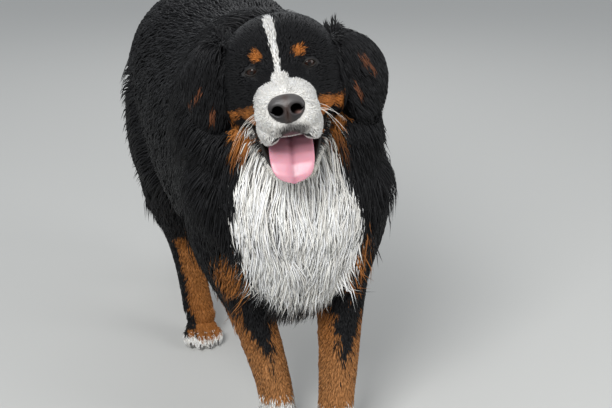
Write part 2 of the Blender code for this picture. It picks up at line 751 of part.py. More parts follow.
def spread_roots(made, whole, zone, rng):
    """Points spread evenly over the object's outer faces, where the coat is long, no closer than
    the spacing that their lock's length asks for, and clear of the cuts that part it."""
    mesh = made.data
    mesh.calc_loop_triangles()
    corners = np.array([[mesh.vertices[i].co[:] for i in t.vertices] for t in mesh.loop_triangles])
    crossed = np.cross(corners[:, 1] - corners[:, 0], corners[:, 2] - corners[:, 0])
    area = np.linalg.norm(crossed, axis=1)
    picks = rng.choice(len(area), size=LOCK_TRIES, p=area / area.sum())
    u, v = rng.random((2, LOCK_TRIES))
    flip = u + v > 1
    u[flip], v[flip] = 1 - u[flip], 1 - v[flip]
    tri = corners[picks]
    points = tri[:, 0] + u[:, None] * (tri[:, 1] - tri[:, 0]) + v[:, None] * (tri[:, 2] - tri[:, 0])
    normals = crossed[picks] / area[picks][:, None]
    own = tree_of(made)
    kept, roots = np.empty((0, 4)), []
    for point, normal in zip(points, normals):
        found = zone(point, normal)
        if found is None:
            continue
        coat, lie, cling, length, share = found
        spacing = share * length
        if len(kept) and (np.linalg.norm(kept[:, :3] - point, axis=1) < spacing).any():
            continue
        if not well_inside(point, normal, own, whole):
            continue
        kept = np.vstack([kept, [*point, length]])
        roots.append((point, normal, coat, lie, cling, length))
    return roots


def tree_of(made):
    shape = bmesh.new()
    shape.from_mesh(made.data)
    tree = BVHTree.FromBMesh(shape)
    shape.free()
    return tree


def well_inside(point, normal, own, whole):
    """Whether the skin round a point, out to the root's reach, is this part's own and not a
    cut's."""
    point, normal = Vector(point), Vector(normal)
    first = normal.orthogonal().normalized()
    second = normal.cross(first)
    for around in (Vector(), first, -first, second, -second):
        on_whole, _, _, away = whole.find_nearest(point + around * ROOT_REACH)
        if around == Vector() and away > SAME_SKIN:
            return False
        if own.find_nearest(on_whole)[3] > SAME_SKIN:
            return False
    return True


def body_zone(samples):
    """The rule for the body's locks: coat, lie, cling and length at a point, or None where the
    coat is short."""

    def rule(point, normal):
        coat, lie, cling, share = coat_and_lie(point, normal, samples)
        if coat < LOCK_LEAST_COAT:
            return None
        length = min(LOCK_LENGTH * coat + LOCK_ADDED, LOCK_MOST)
        return coat, lie, cling, length, share

    return rule


def head_zone(point, normal):
    """The ruff behind each cheek, which lies back and down, and the locks of the throat, which fall
    over the chest, in the head's own frame."""
    if point[2] < -0.088 and normal[1] < -0.3:
        return 0.050, np.array([0.15, -0.10, -0.98]), 0.95, 0.135, 0.34
    side = 1 if point[0] > 0 else -1
    if abs(point[0]) < 0.060 or point[1] < -0.012 or point[2] > -0.005 or normal[2] > 0.4:
        return None
    lie = np.array([side * 0.35, 0.15, -0.90])
    return 0.026, lie / np.linalg.norm(lie), 0.85, 0.080, 0.48


def ear_zone(point, normal):
    """The ear's fringe: locks down its outer face and along its edges."""
    side = 1 if point[0] > 0 else -1
    if abs(point[0]) < 0.088 or normal[0] * side < -0.2 or point[2] > 0.040:
        return None
    lie = np.array([side * 0.30, 0.30, -0.90])
    return 0.020, lie / np.linalg.norm(lie), 0.6, 0.068, 0.52


def lock_path(tree, point, normal, coat, lie, cling, length, sink):
    """Four places along a lock, and the skin's normal at each: the root is sunk in the body, and
    the rest rises to the coat's depth while it follows the body or hangs."""
    free = coat - float(core_depth(np.array(coat)))
    free *= 1 - BACK_FLATTER * max(0.0, normal[2])
    heights = (-sink, 0.45 * free, 0.85 * free, 0.90 * free)
    steps = (0, 0.34, 0.36, 0.30)
    at, way = Vector(point), Vector(lie)
    normal = Vector(normal)
    places, normals, loose = [], [], at.copy()
    for height, step in zip(heights, steps):
        flat = way - normal * way.dot(normal)
        if flat.length > 1e-4:
            flat.normalize()
        loose = loose + way * step * length
        on_skin, skin_normal, _, _ = tree.find_nearest(at + flat * step * length)
        at, normal = on_skin, skin_normal
        hugging = at + normal * height
        hanging = loose + normal * height
        places.append(hugging if height < 0 else hugging.lerp(hanging, 1 - cling))
        normals.append(normal.copy())
    return np.array(places), np.array(normals)


def lock(places, normals, half, thickness, turn):
    """A flat, tapered lock: triangles along its path, each with its base towards the body and its
    ridge outwards, ending in a point."""
    along = np.gradient(places, axis=0)
    across = np.cross(along, normals)
    across /= np.linalg.norm(across, axis=1)[:, None] + 1e-9
    out = np.cross(across, along)
    out /= np.linalg.norm(out, axis=1)[:, None] + 1e-9
    across = across * math.cos(turn) + out * math.sin(turn)
    width = half * np.array([0.75, 1.0, 0.72])[:, None]
    thick = thickness * np.array([1.0, 1.0, 0.8])[:, None]
    rings = np.stack(
        [
            places[:3] - across[:3] * width,
            places[:3] + across[:3] * width,
            places[:3] + out[:3] * thick,
        ],
        axis=1,
    )
    points = np.vstack([rings.reshape(-1, 3), places[3:] + out[3:] * thickness * 0.3])
    faces = [(0, 2, 1), (6, 7, 9), (7, 8, 9), (8, 6, 9)]
    for ring in (0, 3):
        for k in range(3):
            a, b = ring + k, ring + (k + 1) % 3
            faces += [(a, b, b + 3), (a, b + 3, a + 3)]
    return points, faces


def add_locks(made, whole, zone, seed, sink=LOCK_SINK):
    """Joins seeded locks to the object where its coat is long. They follow the whole body's skin,
    also past the cut."""
    rng = np.random.default_rng(seed)
    locks = []
    for point, normal, coat, lie, cling, length in spread_roots(made, whole, zone, rng):
        length *= rng.uniform(0.85, 1.2)
        lie = lie + rng.normal(0, 0.10, 3)
        lie /= np.linalg.norm(lie)
        places, normals = lock_path(whole, point, normal, coat, lie, cling, length, sink)
        half = LOCK_HALF_WIDTH * length * rng.uniform(0.8, 1.15)
        points, faces = lock(places, normals, half, LOCK_THICKNESS, rng.normal(0, 0.15))
        locks.append(mesh_object("lock", points, faces))
    boolean(made, "UNION", locks)
    return largest(made)


def dress(made, whole, zone, seed, sink, others):
    """Gives the object its locks and cuts it clear of its neighbours, with the first draw of locks
    that leaves a sound mesh."""
    bare = made.data.copy()
    for draw in range(LOCK_DRAWS):
        made.data = bare.copy()
        add_locks(made, whole, zone, seed + draw * LOCK_DRAW_STEP, sink)
        clear_of(made, others)
        if sound(made):
            return made
    raise ValueError(f"no draw of locks leaves {made.name} sound")


def half_space(point, normal):
    """A large box on the side of a plane that the normal points to, half the gap from it."""
    turn = Vector(normal).to_track_quat("Z", "Y").to_matrix().to_4x4()
    place = Matrix.Translation(point) @ turn
    return box("side", (-1.5, -1.5, GAP / 2), (1.5, 1.5, 3), place)


# The planes that part the body: a point on each, and the direction of the second part
NECK_TO_HEAD = ((-0.018, -0.300, 0.655), (-0.12, -0.86, 0.50))
CHEST_TO_NECK = ((0, -0.262, 0.545), (0, -0.72, 0.69))
RUMP_TO_TAIL = ((0, 0.474, 0.5), (0, 1, 0))
# The boxes that part each leg from the body: corners of the left one before it leans outwards
LEG_LEAN = math.radians(14)
SHOULDER_BOX = ((0.040, -0.46, -0.2), (0.30, -0.135, 0.425))
THIGH_BOX = ((0.040, 0.105, -0.2), (0.30, 0.474, 0.455))
KNEE_CUT = {"left": 0.300, "right": 0.305}
BELOW_CHEST = 0.290
FEET_LINE = 0.023
LIMB_ROWS = {
    "foreleg_left": FORELEG_LEFT,
    "foreleg_right": FORELEG_RIGHT,
    "hindleg_left": HINDLEG_LEFT,
    "hindleg_right": HINDLEG_RIGHT,
}


def leg_room(corners, side, grow):
    """The room of one leg: above the elbow or knee a box whose inner face leans outwards as it goes
    up, and below the chest all that lies on its own side of the line between the feet."""
    low, high = Vector(corners[0]), Vector(corners[1])
    foot = Matrix.Translation((0.06 * side, 0, 0.30))
    lean = foot @ Matrix.Rotation(LEG_LEAN * side, 4, "Y") @ foot.inverted()
    low -= Vector((grow, grow, 0))
    high += Vector((grow, grow, grow))
    floor = Vector((FEET_LINE + side * (GAP / 2 - grow), low.y, low.z))
    below = Vector((low.x, high.y, BELOW_CHEST + grow))
    below.x = side * high.x
    if side < 0:
        low.x, high.x = -high.x, -low.x
        floor.x, below.x = below.x, floor.x
    room = box("leg_room", low, high, lean)
    return boolean(room, "UNION", [box("below", floor, below)])


def split(made, name, rooms):
    """A copy of the object, only where it lies in all of the rooms."""
    piece = copy_of(made, name)
    piece.name = name
    for room in rooms:
        boolean(piece, "INTERSECT", [room])
    return largest(piece)


def build_body(name):
    """Torso, neck, legs and tail as one closed skin, before it is parted."""
    pieces = [mesh_object("tube", *limb(rows)) for rows in (TORSO, NECK, TAIL, *LIMB_ROWS.values())]
    pieces.append(moved(mesh_object("skull", *head_form(SKULL, 0)), head_matrix()))
    return fused(name, pieces, BODY_VOXEL, 4, BODY_TRIANGLES)


def leg_nodes(whole):
    """Parts the legs from the whole body, and hands back their nodes."""
    nodes = {}
    for name, side in (("left", 1), ("right", -1)):
        for pair, corners in (("foreleg", SHOULDER_BOX), ("thigh", THIGH_BOX)):
            rooms = [leg_room(corners, side, 0), half_space((0, 0, PAW_CUT), (0, 0, 1))]
            nodes[f"{pair}_{name}"] = split(whole, f"{pair}_{name}", rooms)
        thigh = nodes[f"thigh_{name}"]
        knee = (0, 0, KNEE_CUT[name])
        nodes[f"shank_{name}"] = split(thigh, f"shank_{name}", [half_space(knee, (0, 0, -1))])
        boolean(thigh, "INTERSECT", [half_space(knee, (0, 0, 1))])
        largest(thigh)
    return nodes


def body_nodes(whole):
    """The neck, torso, tail and legs with their locks, each clear of those whose locks lie over
    it."""
    skin = tree_of(whole)
    nodes = leg_nodes(whole)
    rooms = [leg_room(c, side, GAP) for c in (SHOULDER_BOX, THIGH_BOX) for side in (-1, 1)]
    boolean(whole, "DIFFERENCE", rooms)
    chest, upwards = (Vector(v) for v in CHEST_TO_NECK)
    nape, ahead = (Vector(v) for v in NECK_TO_HEAD)
    rump, behind = (Vector(v) for v in RUMP_TO_TAIL)
    nodes["tail"] = split(whole, "tail", [half_space(rump, behind)])
    nodes["neck"] = split(whole, "neck", [half_space(chest, upwards), half_space(nape, -ahead)])
    nodes["torso"] = split(whole, "torso", [half_space(chest, -upwards), half_space(rump, -behind)])
    drop(whole)
    zone = body_zone(limb_samples())
    dress(nodes["neck"], skin, zone, LOCK_SEED, LOCK_SINK, [])
    dress(nodes["tail"], skin, zone, LOCK_SEED, LOCK_SINK, [])
    dress(nodes["torso"], skin, zone, LOCK_SEED, LOCK_SINK, [nodes["neck"], nodes["tail"]])
    for side in ("left", "right"):
        above = [nodes["torso"]]
        dress(nodes[f"foreleg_{side}"], skin, zone, LOCK_SEED, LEG_SINK, [nodes["neck"], *above])
        above.append(nodes["tail"])
        dress(nodes[f"thigh_{side}"], skin, zone, LOCK_SEED, LEG_SINK, above)
        above.append(nodes[f"thigh_{side}"])
        dress(nodes[f"shank_{side}"], skin, zone, LOCK_SEED, LEG_SINK, above)
    return nodes


def head_nodes(whole):
    """The head, jaw, tongue, nose, ears and eyes, made in the head's own frame."""
    place = head_matrix()
    head = build_head()
    skin = tree_of(moved(whole, place.inverted()))
    drop(whole)
    dress(head, skin, head_zone, LOCK_SEED, LEG_SINK, [])
    jaw = mesh_object("jaw", *head_form(JAW, 0, 14, 14))
    moved(jaw, open_jaw())
    tongue = build_tongue()
    clear_of(tongue, [head])
    clear_of(jaw, [tongue, head])
    ears = [build_ear(side) for side in (-1, 1)]
    for ear in ears:
        dress(ear, tree_of(ear), ear_zone, LOCK_SEED, EAR_SINK, [head])
    eyes = [
        ball(name, mirrored(EYE_PLACE, side), [EYE_RADIUS] * 3, None, 6, 12)
        for side, name in ((-1, "eye_right"), (1, "eye_left"))
    ]
    return {made.name: moved(made, place) for made in (head, jaw, tongue, build_nose(), *ears, *eyes)}


def build():
    whole = build_body("whole")
    nodes = body_nodes(copy_of(whole, "parted"))
    for name in PAWS:
        leg = LIMB_ROWS[name.replace("forepaw", "foreleg").replace("hindpaw", "hindleg")]
        nodes[name] = build_paw(name, leg)
    nodes.update(head_nodes(whole))
    rooms = [hull_of(nodes["ear_left"]), hull_of(nodes["ear_right"]), hull_of(nodes["jaw"])]
    clear_of(nodes["neck"], [nodes["head"], *rooms])
    clear_of(nodes["torso"], [nodes["head"], *rooms])
    drop(*rooms)

    home = bpy.data.collections.new("bernese_mountain_dog")
    bpy.context.scene.collection.children.link(home)
    for name, made in nodes.items():
        made.name = name
        moved(made, Matrix.Translation(ORIGIN_SHIFT))
        home.objects.link(made)
        bpy.context.scene.collection.objects.unlink(made)
        finish_node(made)


COLOURS = {
    "black coat": (0.012, 0.012, 0.013),
    "tan coat": (0.36, 0.13, 0.035),
    "white coat": (0.75, 0.72, 0.64),
    "nose leather": (0.025, 0.022, 0.022),
    "tongue": (0.62, 0.27, 0.31),
    "eye": (0.03, 0.012, 0.006),
}
FINISHES = {
    "torso": "black coat",
    "neck": "black coat",
    "tail": "black coat",
    "head": "black coat",
    "jaw": "white coat",
    "ear": "black coat",
    "thigh": "black coat",
    "foreleg": "tan coat",
    "shank": "tan coat",
    "forepaw": "white coat",
    "hindpaw": "white coat",
    "nose": "nose leather",
    "tongue": "tongue",
    "eye": "eye",
}


def finish_node(made):
    """Gives a node its own Principled material, and flat shading where it has locks."""
    finish = FINISHES[made.name.split("_")[0]]
    roughness = 0.25 if finish in ("eye", "tongue", "nose leather") else 0.8
    paint(made, f"{made.name} {finish}", COLOURS[finish], roughness)


for old in list(bpy.data.objects):
    bpy.data.objects.remove(old)
build()
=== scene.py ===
import math

import bmesh
import bpy
import numpy as np
from mathutils import Euler, Matrix, Vector
from mathutils.bvhtree import BVHTree


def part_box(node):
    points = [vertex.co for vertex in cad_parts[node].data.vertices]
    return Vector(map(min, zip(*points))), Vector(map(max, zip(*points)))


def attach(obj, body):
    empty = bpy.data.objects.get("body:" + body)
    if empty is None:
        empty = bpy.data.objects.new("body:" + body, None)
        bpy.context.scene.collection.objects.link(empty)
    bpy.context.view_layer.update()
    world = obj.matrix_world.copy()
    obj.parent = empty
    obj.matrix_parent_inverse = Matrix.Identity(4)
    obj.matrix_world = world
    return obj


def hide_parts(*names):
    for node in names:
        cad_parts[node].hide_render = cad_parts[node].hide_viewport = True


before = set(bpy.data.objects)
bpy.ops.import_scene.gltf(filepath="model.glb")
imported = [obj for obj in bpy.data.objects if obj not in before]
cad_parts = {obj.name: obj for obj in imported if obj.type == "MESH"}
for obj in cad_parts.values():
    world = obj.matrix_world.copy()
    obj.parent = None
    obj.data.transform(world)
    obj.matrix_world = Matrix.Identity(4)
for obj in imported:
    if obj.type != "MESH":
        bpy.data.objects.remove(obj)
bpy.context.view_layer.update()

# Where the skull's centre is, and how the head is turned: towards the dog's right, up and tilted
HEAD_CENTRE = Vector((-0.030, -0.348, 0.6695))
HEAD_YAW = math.radians(-14.2)
HEAD_PITCH = math.radians(-3.5)
HEAD_ROLL = math.radians(-9.0)
JAW_OPENING = math.radians(19.5)
JAW_SWAY = math.radians(4.0)
JAW_HINGE = Vector((0, -0.005, -0.050))
EYE_PLACE = np.array([0.0395, -0.0625, 0.012])
EYE_RADIUS = 0.0115
NOSE_PLACE = np.array([0, -0.166, -0.031])
NOSE_WIDTH = 0.054
NOSE_SEAT = 0.012

# Sections along each part, from end to end. Each row is the centre x, y, z, the half width, the
# reach to the up or rear side, the reach to the down or front side, and the coat's depth.
TORSO = [
    (0, -0.385, 0.450, 0.040, 0.040, 0.040, 0.030),
    (0, -0.345, 0.460, 0.092, 0.100, 0.100, 0.040),
    (0, -0.260, 0.480, 0.122, 0.175, 0.158, 0.040),
    (0, -0.140, 0.490, 0.132, 0.196, 0.178, 0.035),
    (0, 0.010, 0.495, 0.146, 0.186, 0.177, 0.035),
    (0, 0.150, 0.503, 0.146, 0.177, 0.155, 0.035),
    (0, 0.270, 0.516, 0.140, 0.160, 0.125, 0.035),
    (0, 0.360, 0.524, 0.118, 0.132, 0.105, 0.035),
    (0, 0.425, 0.530, 0.078, 0.092, 0.078, 0.035),
    (0, 0.455, 0.540, 0.035, 0.045, 0.035, 0.030),
]
NECK = [
    (0.000, -0.130, 0.520, 0.080, 0.100, 0.080, 0.030),
    (0.000, -0.190, 0.540, 0.114, 0.140, 0.135, 0.045),
    (-0.006, -0.245, 0.580, 0.102, 0.118, 0.125, 0.055),
    (-0.016, -0.290, 0.622, 0.090, 0.098, 0.108, 0.050),
    (-0.026, -0.325, 0.650, 0.078, 0.080, 0.090, 0.015),
    (-0.030, -0.345, 0.664, 0.050, 0.050, 0.050, 0.005),
]
FORELEG_LEFT = [
    (0.088, -0.265, 0.500, 0.035, 0.045, 0.045, 0.020),
    (0.096, -0.290, 0.450, 0.052, 0.080, 0.062, 0.025),
    (0.100, -0.275, 0.385, 0.048, 0.072, 0.056, 0.022),
    (0.098, -0.262, 0.325, 0.041, 0.055, 0.048, 0.016),
    (0.089, -0.286, 0.245, 0.033, 0.040, 0.038, 0.010),
    (0.077, -0.312, 0.160, 0.029, 0.031, 0.033, 0.009),
    (0.069, -0.325, 0.095, 0.027, 0.028, 0.029, 0.009),
    (0.066, -0.330, 0.050, 0.029, 0.030, 0.030, 0.009),
]
FORELEG_RIGHT = [
    (-0.088, -0.245, 0.500, 0.035, 0.045, 0.045, 0.020),
    (-0.096, -0.268, 0.450, 0.052, 0.080, 0.062, 0.025),
    (-0.096, -0.245, 0.385, 0.048, 0.072, 0.056, 0.022),
    (-0.084, -0.228, 0.325, 0.041, 0.055, 0.048, 0.016),
    (-0.059, -0.240, 0.245, 0.033, 0.040, 0.038, 0.010),
    (-0.037, -0.256, 0.160, 0.029, 0.031, 0.033, 0.009),
    (-0.023, -0.265, 0.095, 0.027, 0.028, 0.029, 0.009),
    (-0.019, -0.270, 0.050, 0.029, 0.030, 0.030, 0.009),
]
HINDLEG_LEFT = [
    (0.070, 0.300, 0.560, 0.045, 0.070, 0.070, 0.025),
    (0.088, 0.290, 0.500, 0.070, 0.125, 0.095, 0.030),
    (0.104, 0.255, 0.420, 0.066, 0.118, 0.085, 0.030),
    (0.110, 0.230, 0.350, 0.052, 0.085, 0.062, 0.025),
    (0.107, 0.275, 0.275, 0.038, 0.052, 0.042, 0.014),
    (0.103, 0.345, 0.195, 0.027, 0.036, 0.030, 0.010),
    (0.101, 0.362, 0.150, 0.026, 0.029, 0.027, 0.009),
    (0.100, 0.366, 0.100, 0.026, 0.026, 0.027, 0.009),
    (0.100, 0.366, 0.050, 0.028, 0.028, 0.028, 0.009),
]
HINDLEG_RIGHT = [
    (-0.070, 0.300, 0.560, 0.045, 0.070, 0.070, 0.025),
    (-0.088, 0.275, 0.500, 0.070, 0.125, 0.095, 0.030),
    (-0.102, 0.215, 0.425, 0.066, 0.115, 0.085, 0.030),
    (-0.108, 0.180, 0.360, 0.052, 0.080, 0.062, 0.025),
    (-0.100, 0.200, 0.280, 0.038, 0.052, 0.042, 0.014),
    (-0.086, 0.228, 0.200, 0.027, 0.036, 0.030, 0.010),
    (-0.077, 0.218, 0.150, 0.026, 0.029, 0.027, 0.009),
    (-0.071, 0.198, 0.100, 0.026, 0.026, 0.027, 0.009),
    (-0.067, 0.180, 0.055, 0.028, 0.028, 0.028, 0.009),
]
TAIL = [
    (0.000, 0.400, 0.580, 0.022, 0.022, 0.022, 0.010),
    (0.000, 0.450, 0.580, 0.026, 0.024, 0.024, 0.022),
    (0.003, 0.495, 0.535, 0.022, 0.021, 0.021, 0.040),
    (0.006, 0.525, 0.445, 0.018, 0.018, 0.018, 0.060),
    (0.010, 0.538, 0.350, 0.015, 0.015, 0.015, 0.065),
    (0.014, 0.550, 0.270, 0.012, 0.012, 0.012, 0.060),
    (0.018, 0.568, 0.205, 0.008, 0.008, 0.008, 0.040),
    (0.020, 0.580, 0.180, 0.004, 0.004, 0.004, 0.020),
]
# Sections of the skull and of the lower jaw before it opens, in the head's own frame: distance
# ahead of the skull's centre, top, bottom, half width, and boxiness, where 2 is an ellipse
SKULL = [
    (-0.104, 0.022, -0.026, 0.026, 2.0),
    (-0.090, 0.052, -0.054, 0.058, 2.0),
    (-0.050, 0.072, -0.076, 0.080, 2.1),
    (0.000, 0.076, -0.086, 0.087, 2.2),
    (0.035, 0.069, -0.086, 0.083, 2.3),
    (0.060, 0.050, -0.083, 0.070, 2.3),
    (0.080, 0.024, -0.080, 0.054, 2.3),
    (0.105, 0.009, -0.078, 0.0455, 2.5),
    (0.135, 0.003, -0.077, 0.0445, 2.6),
    (0.158, -0.002, -0.073, 0.0415, 2.5),
    (0.170, -0.011, -0.064, 0.033, 2.3),
    (0.175, -0.024, -0.052, 0.018, 2.0),
]
JAW = [
    (-0.030, -0.052, -0.085, 0.040, 2.0),
    (0.000, -0.054, -0.098, 0.054, 2.2),
    (0.040, -0.060, -0.104, 0.054, 2.3),
    (0.075, -0.066, -0.105, 0.045, 2.3),
    (0.110, -0.071, -0.104, 0.038, 2.3),
    (0.138, -0.075, -0.101, 0.030, 2.2),
    (0.151, -0.079, -0.096, 0.018, 2.0),
    (0.155, -0.083, -0.091, 0.008, 2.0),
]
# The tongue on the jaw: distance ahead, height of its middle, half width and half thickness
TONGUE = [
    (0.005, -0.062, 0.022, 0.0060),
    (0.040, -0.060, 0.029, 0.0075),
    (0.080, -0.061, 0.031, 0.0070),
    (0.115, -0.066, 0.032, 0.0060),
    (0.136, -0.071, 0.032, 0.0050),
    (0.149, -0.078, 0.0305, 0.0042),
    (0.156, -0.0845, 0.0270, 0.0038),
    (0.1590, -0.0895, 0.0215, 0.0034),
    (0.1605, -0.0930, 0.0130, 0.0028),
]
# The ear's flap from root to tip in the head's frame, on the left side: the middle of its width
# and its half width, and beside it the direction of its width
EAR_SPINE = [
    (0.060, 0.016, 0.044, 0.026),
    (0.084, 0.014, 0.054, 0.034),
    (0.104, 0.014, 0.040, 0.044),
    (0.115, 0.016, 0.008, 0.048),
    (0.116, 0.018, -0.030, 0.042),
    (0.110, 0.018, -0.062, 0.026),
    (0.106, 0.018, -0.076, 0.012),
]
EAR_ACROSS = [
    (0.00, 1.0, 0.30),
    (0.20, 1.0, 0.20),
    (0.50, 1.0, 0.10),
    (0.70, 1.0, 0.00),
    (0.75, 1.0, 0.00),
    (0.75, 1.0, 0.00),
    (0.75, 1.0, 0.00),
]
EAR_CUP = 0.30
EAR_THICKNESS = 0.0055
EAR_CARRIAGE = {-1: (1.12, 0.006), 1: (1.14, 0.024)}
CHEEK = ((0.060, -0.006, -0.032), (0.028, 0.043, 0.042))
BROW = ((0.034, -0.050, 0.033), (0.021, 0.016, 0.012))
FLEW = ((0.030, -0.112, -0.064), (0.016, 0.045, 0.022))
WHISKER_PAD = ((0.027, -0.146, -0.040), (0.017, 0.024, 0.022))

# Each toe of a paw: how far to the side and ahead of the paw's middle its centre is
TOES = [(-0.029, 0.022), (-0.010, 0.036), (0.010, 0.036), (0.029, 0.022)]
PAWS = {
    "forepaw_left": ((0.066, -0.344, 0), math.radians(3), 1.0),
    "forepaw_right": ((-0.019, -0.284, 0), math.radians(-4), 1.0),
    "hindpaw_left": ((0.100, 0.348, 0), math.radians(5), 0.92),
    "hindpaw_right": ((-0.066, 0.160, 0), math.radians(-5), 0.92),
}

# Grid sizes of the skin
BODY_VOXEL = 0.0070
HEAD_VOXEL = 0.0024
PAW_VOXEL = 0.0034
# What every random draw starts from
SEED = 7


def head_matrix():
    """Places the head's own frame, whose -Y points along the muzzle, in the dog's frame."""
    turn = Euler((HEAD_PITCH, 0, 0)).to_matrix() @ Euler((0, HEAD_ROLL, 0)).to_matrix()
    turn = Euler((0, 0, HEAD_YAW)).to_matrix() @ turn
    return Matrix.Translation(HEAD_CENTRE) @ turn.to_4x4()


def jaw_matrix():
    """Swings the lower jaw down about its hinge, and a little to the dog's right."""
    hinge = Matrix.Translation(JAW_HINGE)
    swing = Matrix.Rotation(JAW_SWAY, 4, "Y") @ Matrix.Rotation(JAW_OPENING, 4, "X")
    return hinge @ swing @ hinge.inverted()


def moved(points, matrix):
    """The points with the 4 by 4 matrix applied."""
    matrix = np.array(matrix)
    return points @ matrix[:3, :3].T + matrix[:3, 3]


HEAD = np.array(head_matrix())
TO_HEAD = np.linalg.inv(HEAD)
OPEN_JAW = np.array(jaw_matrix())
# From the rows' own place to the model's, taken from where the left eye was packed
EYE_BOX = np.array(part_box("eye_left"))
SHIFT = EYE_BOX.mean(axis=0) - moved(EYE_PLACE[None], HEAD)[0]


def unit(vectors):
    """Each vector divided by its length."""
    return vectors / (np.linalg.norm(vectors, axis=-1, keepdims=True) + 1e-12)


def dot(a, b):
    """The dot product of each pair of vectors, kept as a column."""
    return (a * b).sum(axis=-1, keepdims=True)


def smooth(low, high, value):
    """0 below low, 1 above high, and a soft step between them."""
    t = np.clip((value - low) / (high - low), 0, 1)
    return t * t * (3 - 2 * t)


def through(rows, count):
    """A smooth curve through the rows: each stretch is the cubic whose slopes at its two ends are
    half the step between the rows on either side."""
    rows = np.asarray(rows, float)
    slopes = np.gradient(rows, axis=0)
    at = np.linspace(0, len(rows) - 1, count)
    i = np.minimum(at.astype(int), len(rows) - 2)
    t = (at - i)[:, None]
    return (
        (2 * t**3 - 3 * t**2 + 1) * rows[i]
        + (t**3 - 2 * t**2 + t) * slopes[i]
        + (3 * t**2 - 2 * t**3) * rows[i + 1]
        + (t**3 - t**2) * slopes[i + 1]
    )


def mesh_object(name, points, *face_groups):
    """A new object from an array of points and arrays of faces, one array per count of corners."""
    mesh = bpy.data.meshes.new(name)
    mesh.vertices.add(len(points))
    mesh.vertices.foreach_set("co", np.asarray(points, np.float32).ravel())
    corners = np.concatenate([np.asarray(group, np.int32).ravel() for group in face_groups])
    sizes = np.concatenate([np.full(len(group), group.shape[1]) for group in face_groups])
    mesh.loops.add(len(corners))
    mesh.loops.foreach_set("vertex_index", corners)
    mesh.polygons.add(len(sizes))
    starts = np.concatenate([[0], np.cumsum(sizes)[:-1]])
    mesh.polygons.foreach_set("loop_start", starts.astype(np.int32))
    mesh.update(calc_edges=True)
    made = bpy.data.objects.new(name, mesh)
    bpy.context.scene.collection.objects.link(made)
    return made


def ring_faces(rings, sides):
    """Quads between the rings of a tube, and the triangles that close its two ends in the two
    points after the last ring."""
    start = np.arange(rings - 1)[:, None] * sides
    side = np.arange(sides)[None, :]
    after = (side + 1) % sides
    quads = np.stack([start + side, start + after, start + after + sides, start + side + sides], -1)
    here, there = side[0], after[0]
    end = (rings - 1) * sides
    first = np.stack([there, here, np.full(sides, rings * sides)], -1)
    last = np.stack([end + here, end + there, np.full(sides, rings * sides + 1)], -1)
    return quads.reshape(-1, 4), np.vstack([first, last])


def tube(centres, across, up, half, rise, drop, boxy, sides=32):
    """Rings of points about the centres. At angle a a ring's point is out by half * cos(a) across
    and by rise or drop * sin(a) up, each to the power 2 / boxy, and the ends close in a point."""
    angle = np.arange(sides) * 2 * np.pi / sides
    c, s = np.cos(angle)[None, :], np.sin(angle)[None, :]
    power = 2 / boxy[:, None]
    cx = np.sign(c) * np.abs(c) ** power
    sx = np.sign(s) * np.abs(s) ** power
    reach = np.where(s > 0, rise[:, None], drop[:, None])
    rings = (
        centres[:, None, :]
        + across[:, None, :] * (half[:, None] * cx)[:, :, None]
        + up[:, None, :] * (reach * sx)[:, :, None]
    )
    points = np.vstack([rings.reshape(-1, 3), centres[:1], centres[-1:]])
    return points, *ring_faces(len(centres), sides)


def limb(rows, rings=60):
    """A body part's bare skin from its rows."""
    rows = through(rows, rings)
    half, rise, fall = (np.maximum(rows[:, column], 0.002) for column in (3, 4, 5))
    centres = rows[:, :3]
    along = unit(np.gradient(centres, axis=0))
    across = unit(np.array([1.0, 0, 0]) - along * along[:, :1])
    return tube(centres, across, np.cross(across, along), half, rise, fall, np.full(rings, 2.15))


def head_form(rows, grow, rings=60):
    """The skull or the jaw from its rows, in the head's own frame."""
    rows = through(rows, rings)
    half = np.maximum(rows[:, 3], 0.004) + grow
    middle = (rows[:, 1] + rows[:, 2]) / 2
    tall = np.maximum((rows[:, 1] - rows[:, 2]) / 2, 0.004) + grow
    centres = np.stack([np.zeros(rings), -rows[:, 0], middle], axis=1)
    across = np.tile([-1.0, 0, 0], (rings, 1))
    up = np.tile([0, 0, 1.0], (rings, 1))
    return tube(centres, across, up, half, tall, tall, rows[:, 4])


def roll(path, radius, count=40, sides=12):
    """A round tube along a smooth curve through the path, whose radius eases off at both ends."""
    centres = through(path, count)
    along = unit(np.gradient(centres, axis=0))
    across = unit(np.cross(along, np.array([0, 0.31, 0.95])))
    up = np.cross(across, along)
    width = radius * np.sqrt(np.clip(np.sin(np.linspace(0.12, np.pi - 0.12, count)), 0, 1))
    return tube(centres, across, up, width, width, width, np.full(count, 2.0), sides)


def ellipsoid(centre, radii, turn=(0, 0, 0), rings=24, sides=32):
    """A ball with these half sizes: at height angle t and side angle a, a point is at sin(t)
    cos(a), sin(t) sin(a), cos(t), stretched, turned and moved to its centre."""
    t = np.linspace(0, np.pi, rings + 2)[1:-1]
    a = np.arange(sides) * 2 * np.pi / sides
    grid = np.stack(
        [
            np.sin(t)[:, None] * np.cos(a)[None, :],
            np.sin(t)[:, None] * np.sin(a)[None, :],
            np.cos(t)[:, None] * np.ones((1, sides)),
        ],
        axis=-1,
    )
    points = np.vstack([grid.reshape(-1, 3), [[0, 0, 1.0]], [[0, 0, -1.0]]])
    points = points * np.array(radii)
    points = points @ np.array(Euler(turn).to_matrix()).T + np.array(centre)
    return points, *ring_faces(rings, sides)


def mirrored(at, side):
    """The place on the given side, from the place on the left."""
    return np.array([at[0] * side, at[1], at[2]])


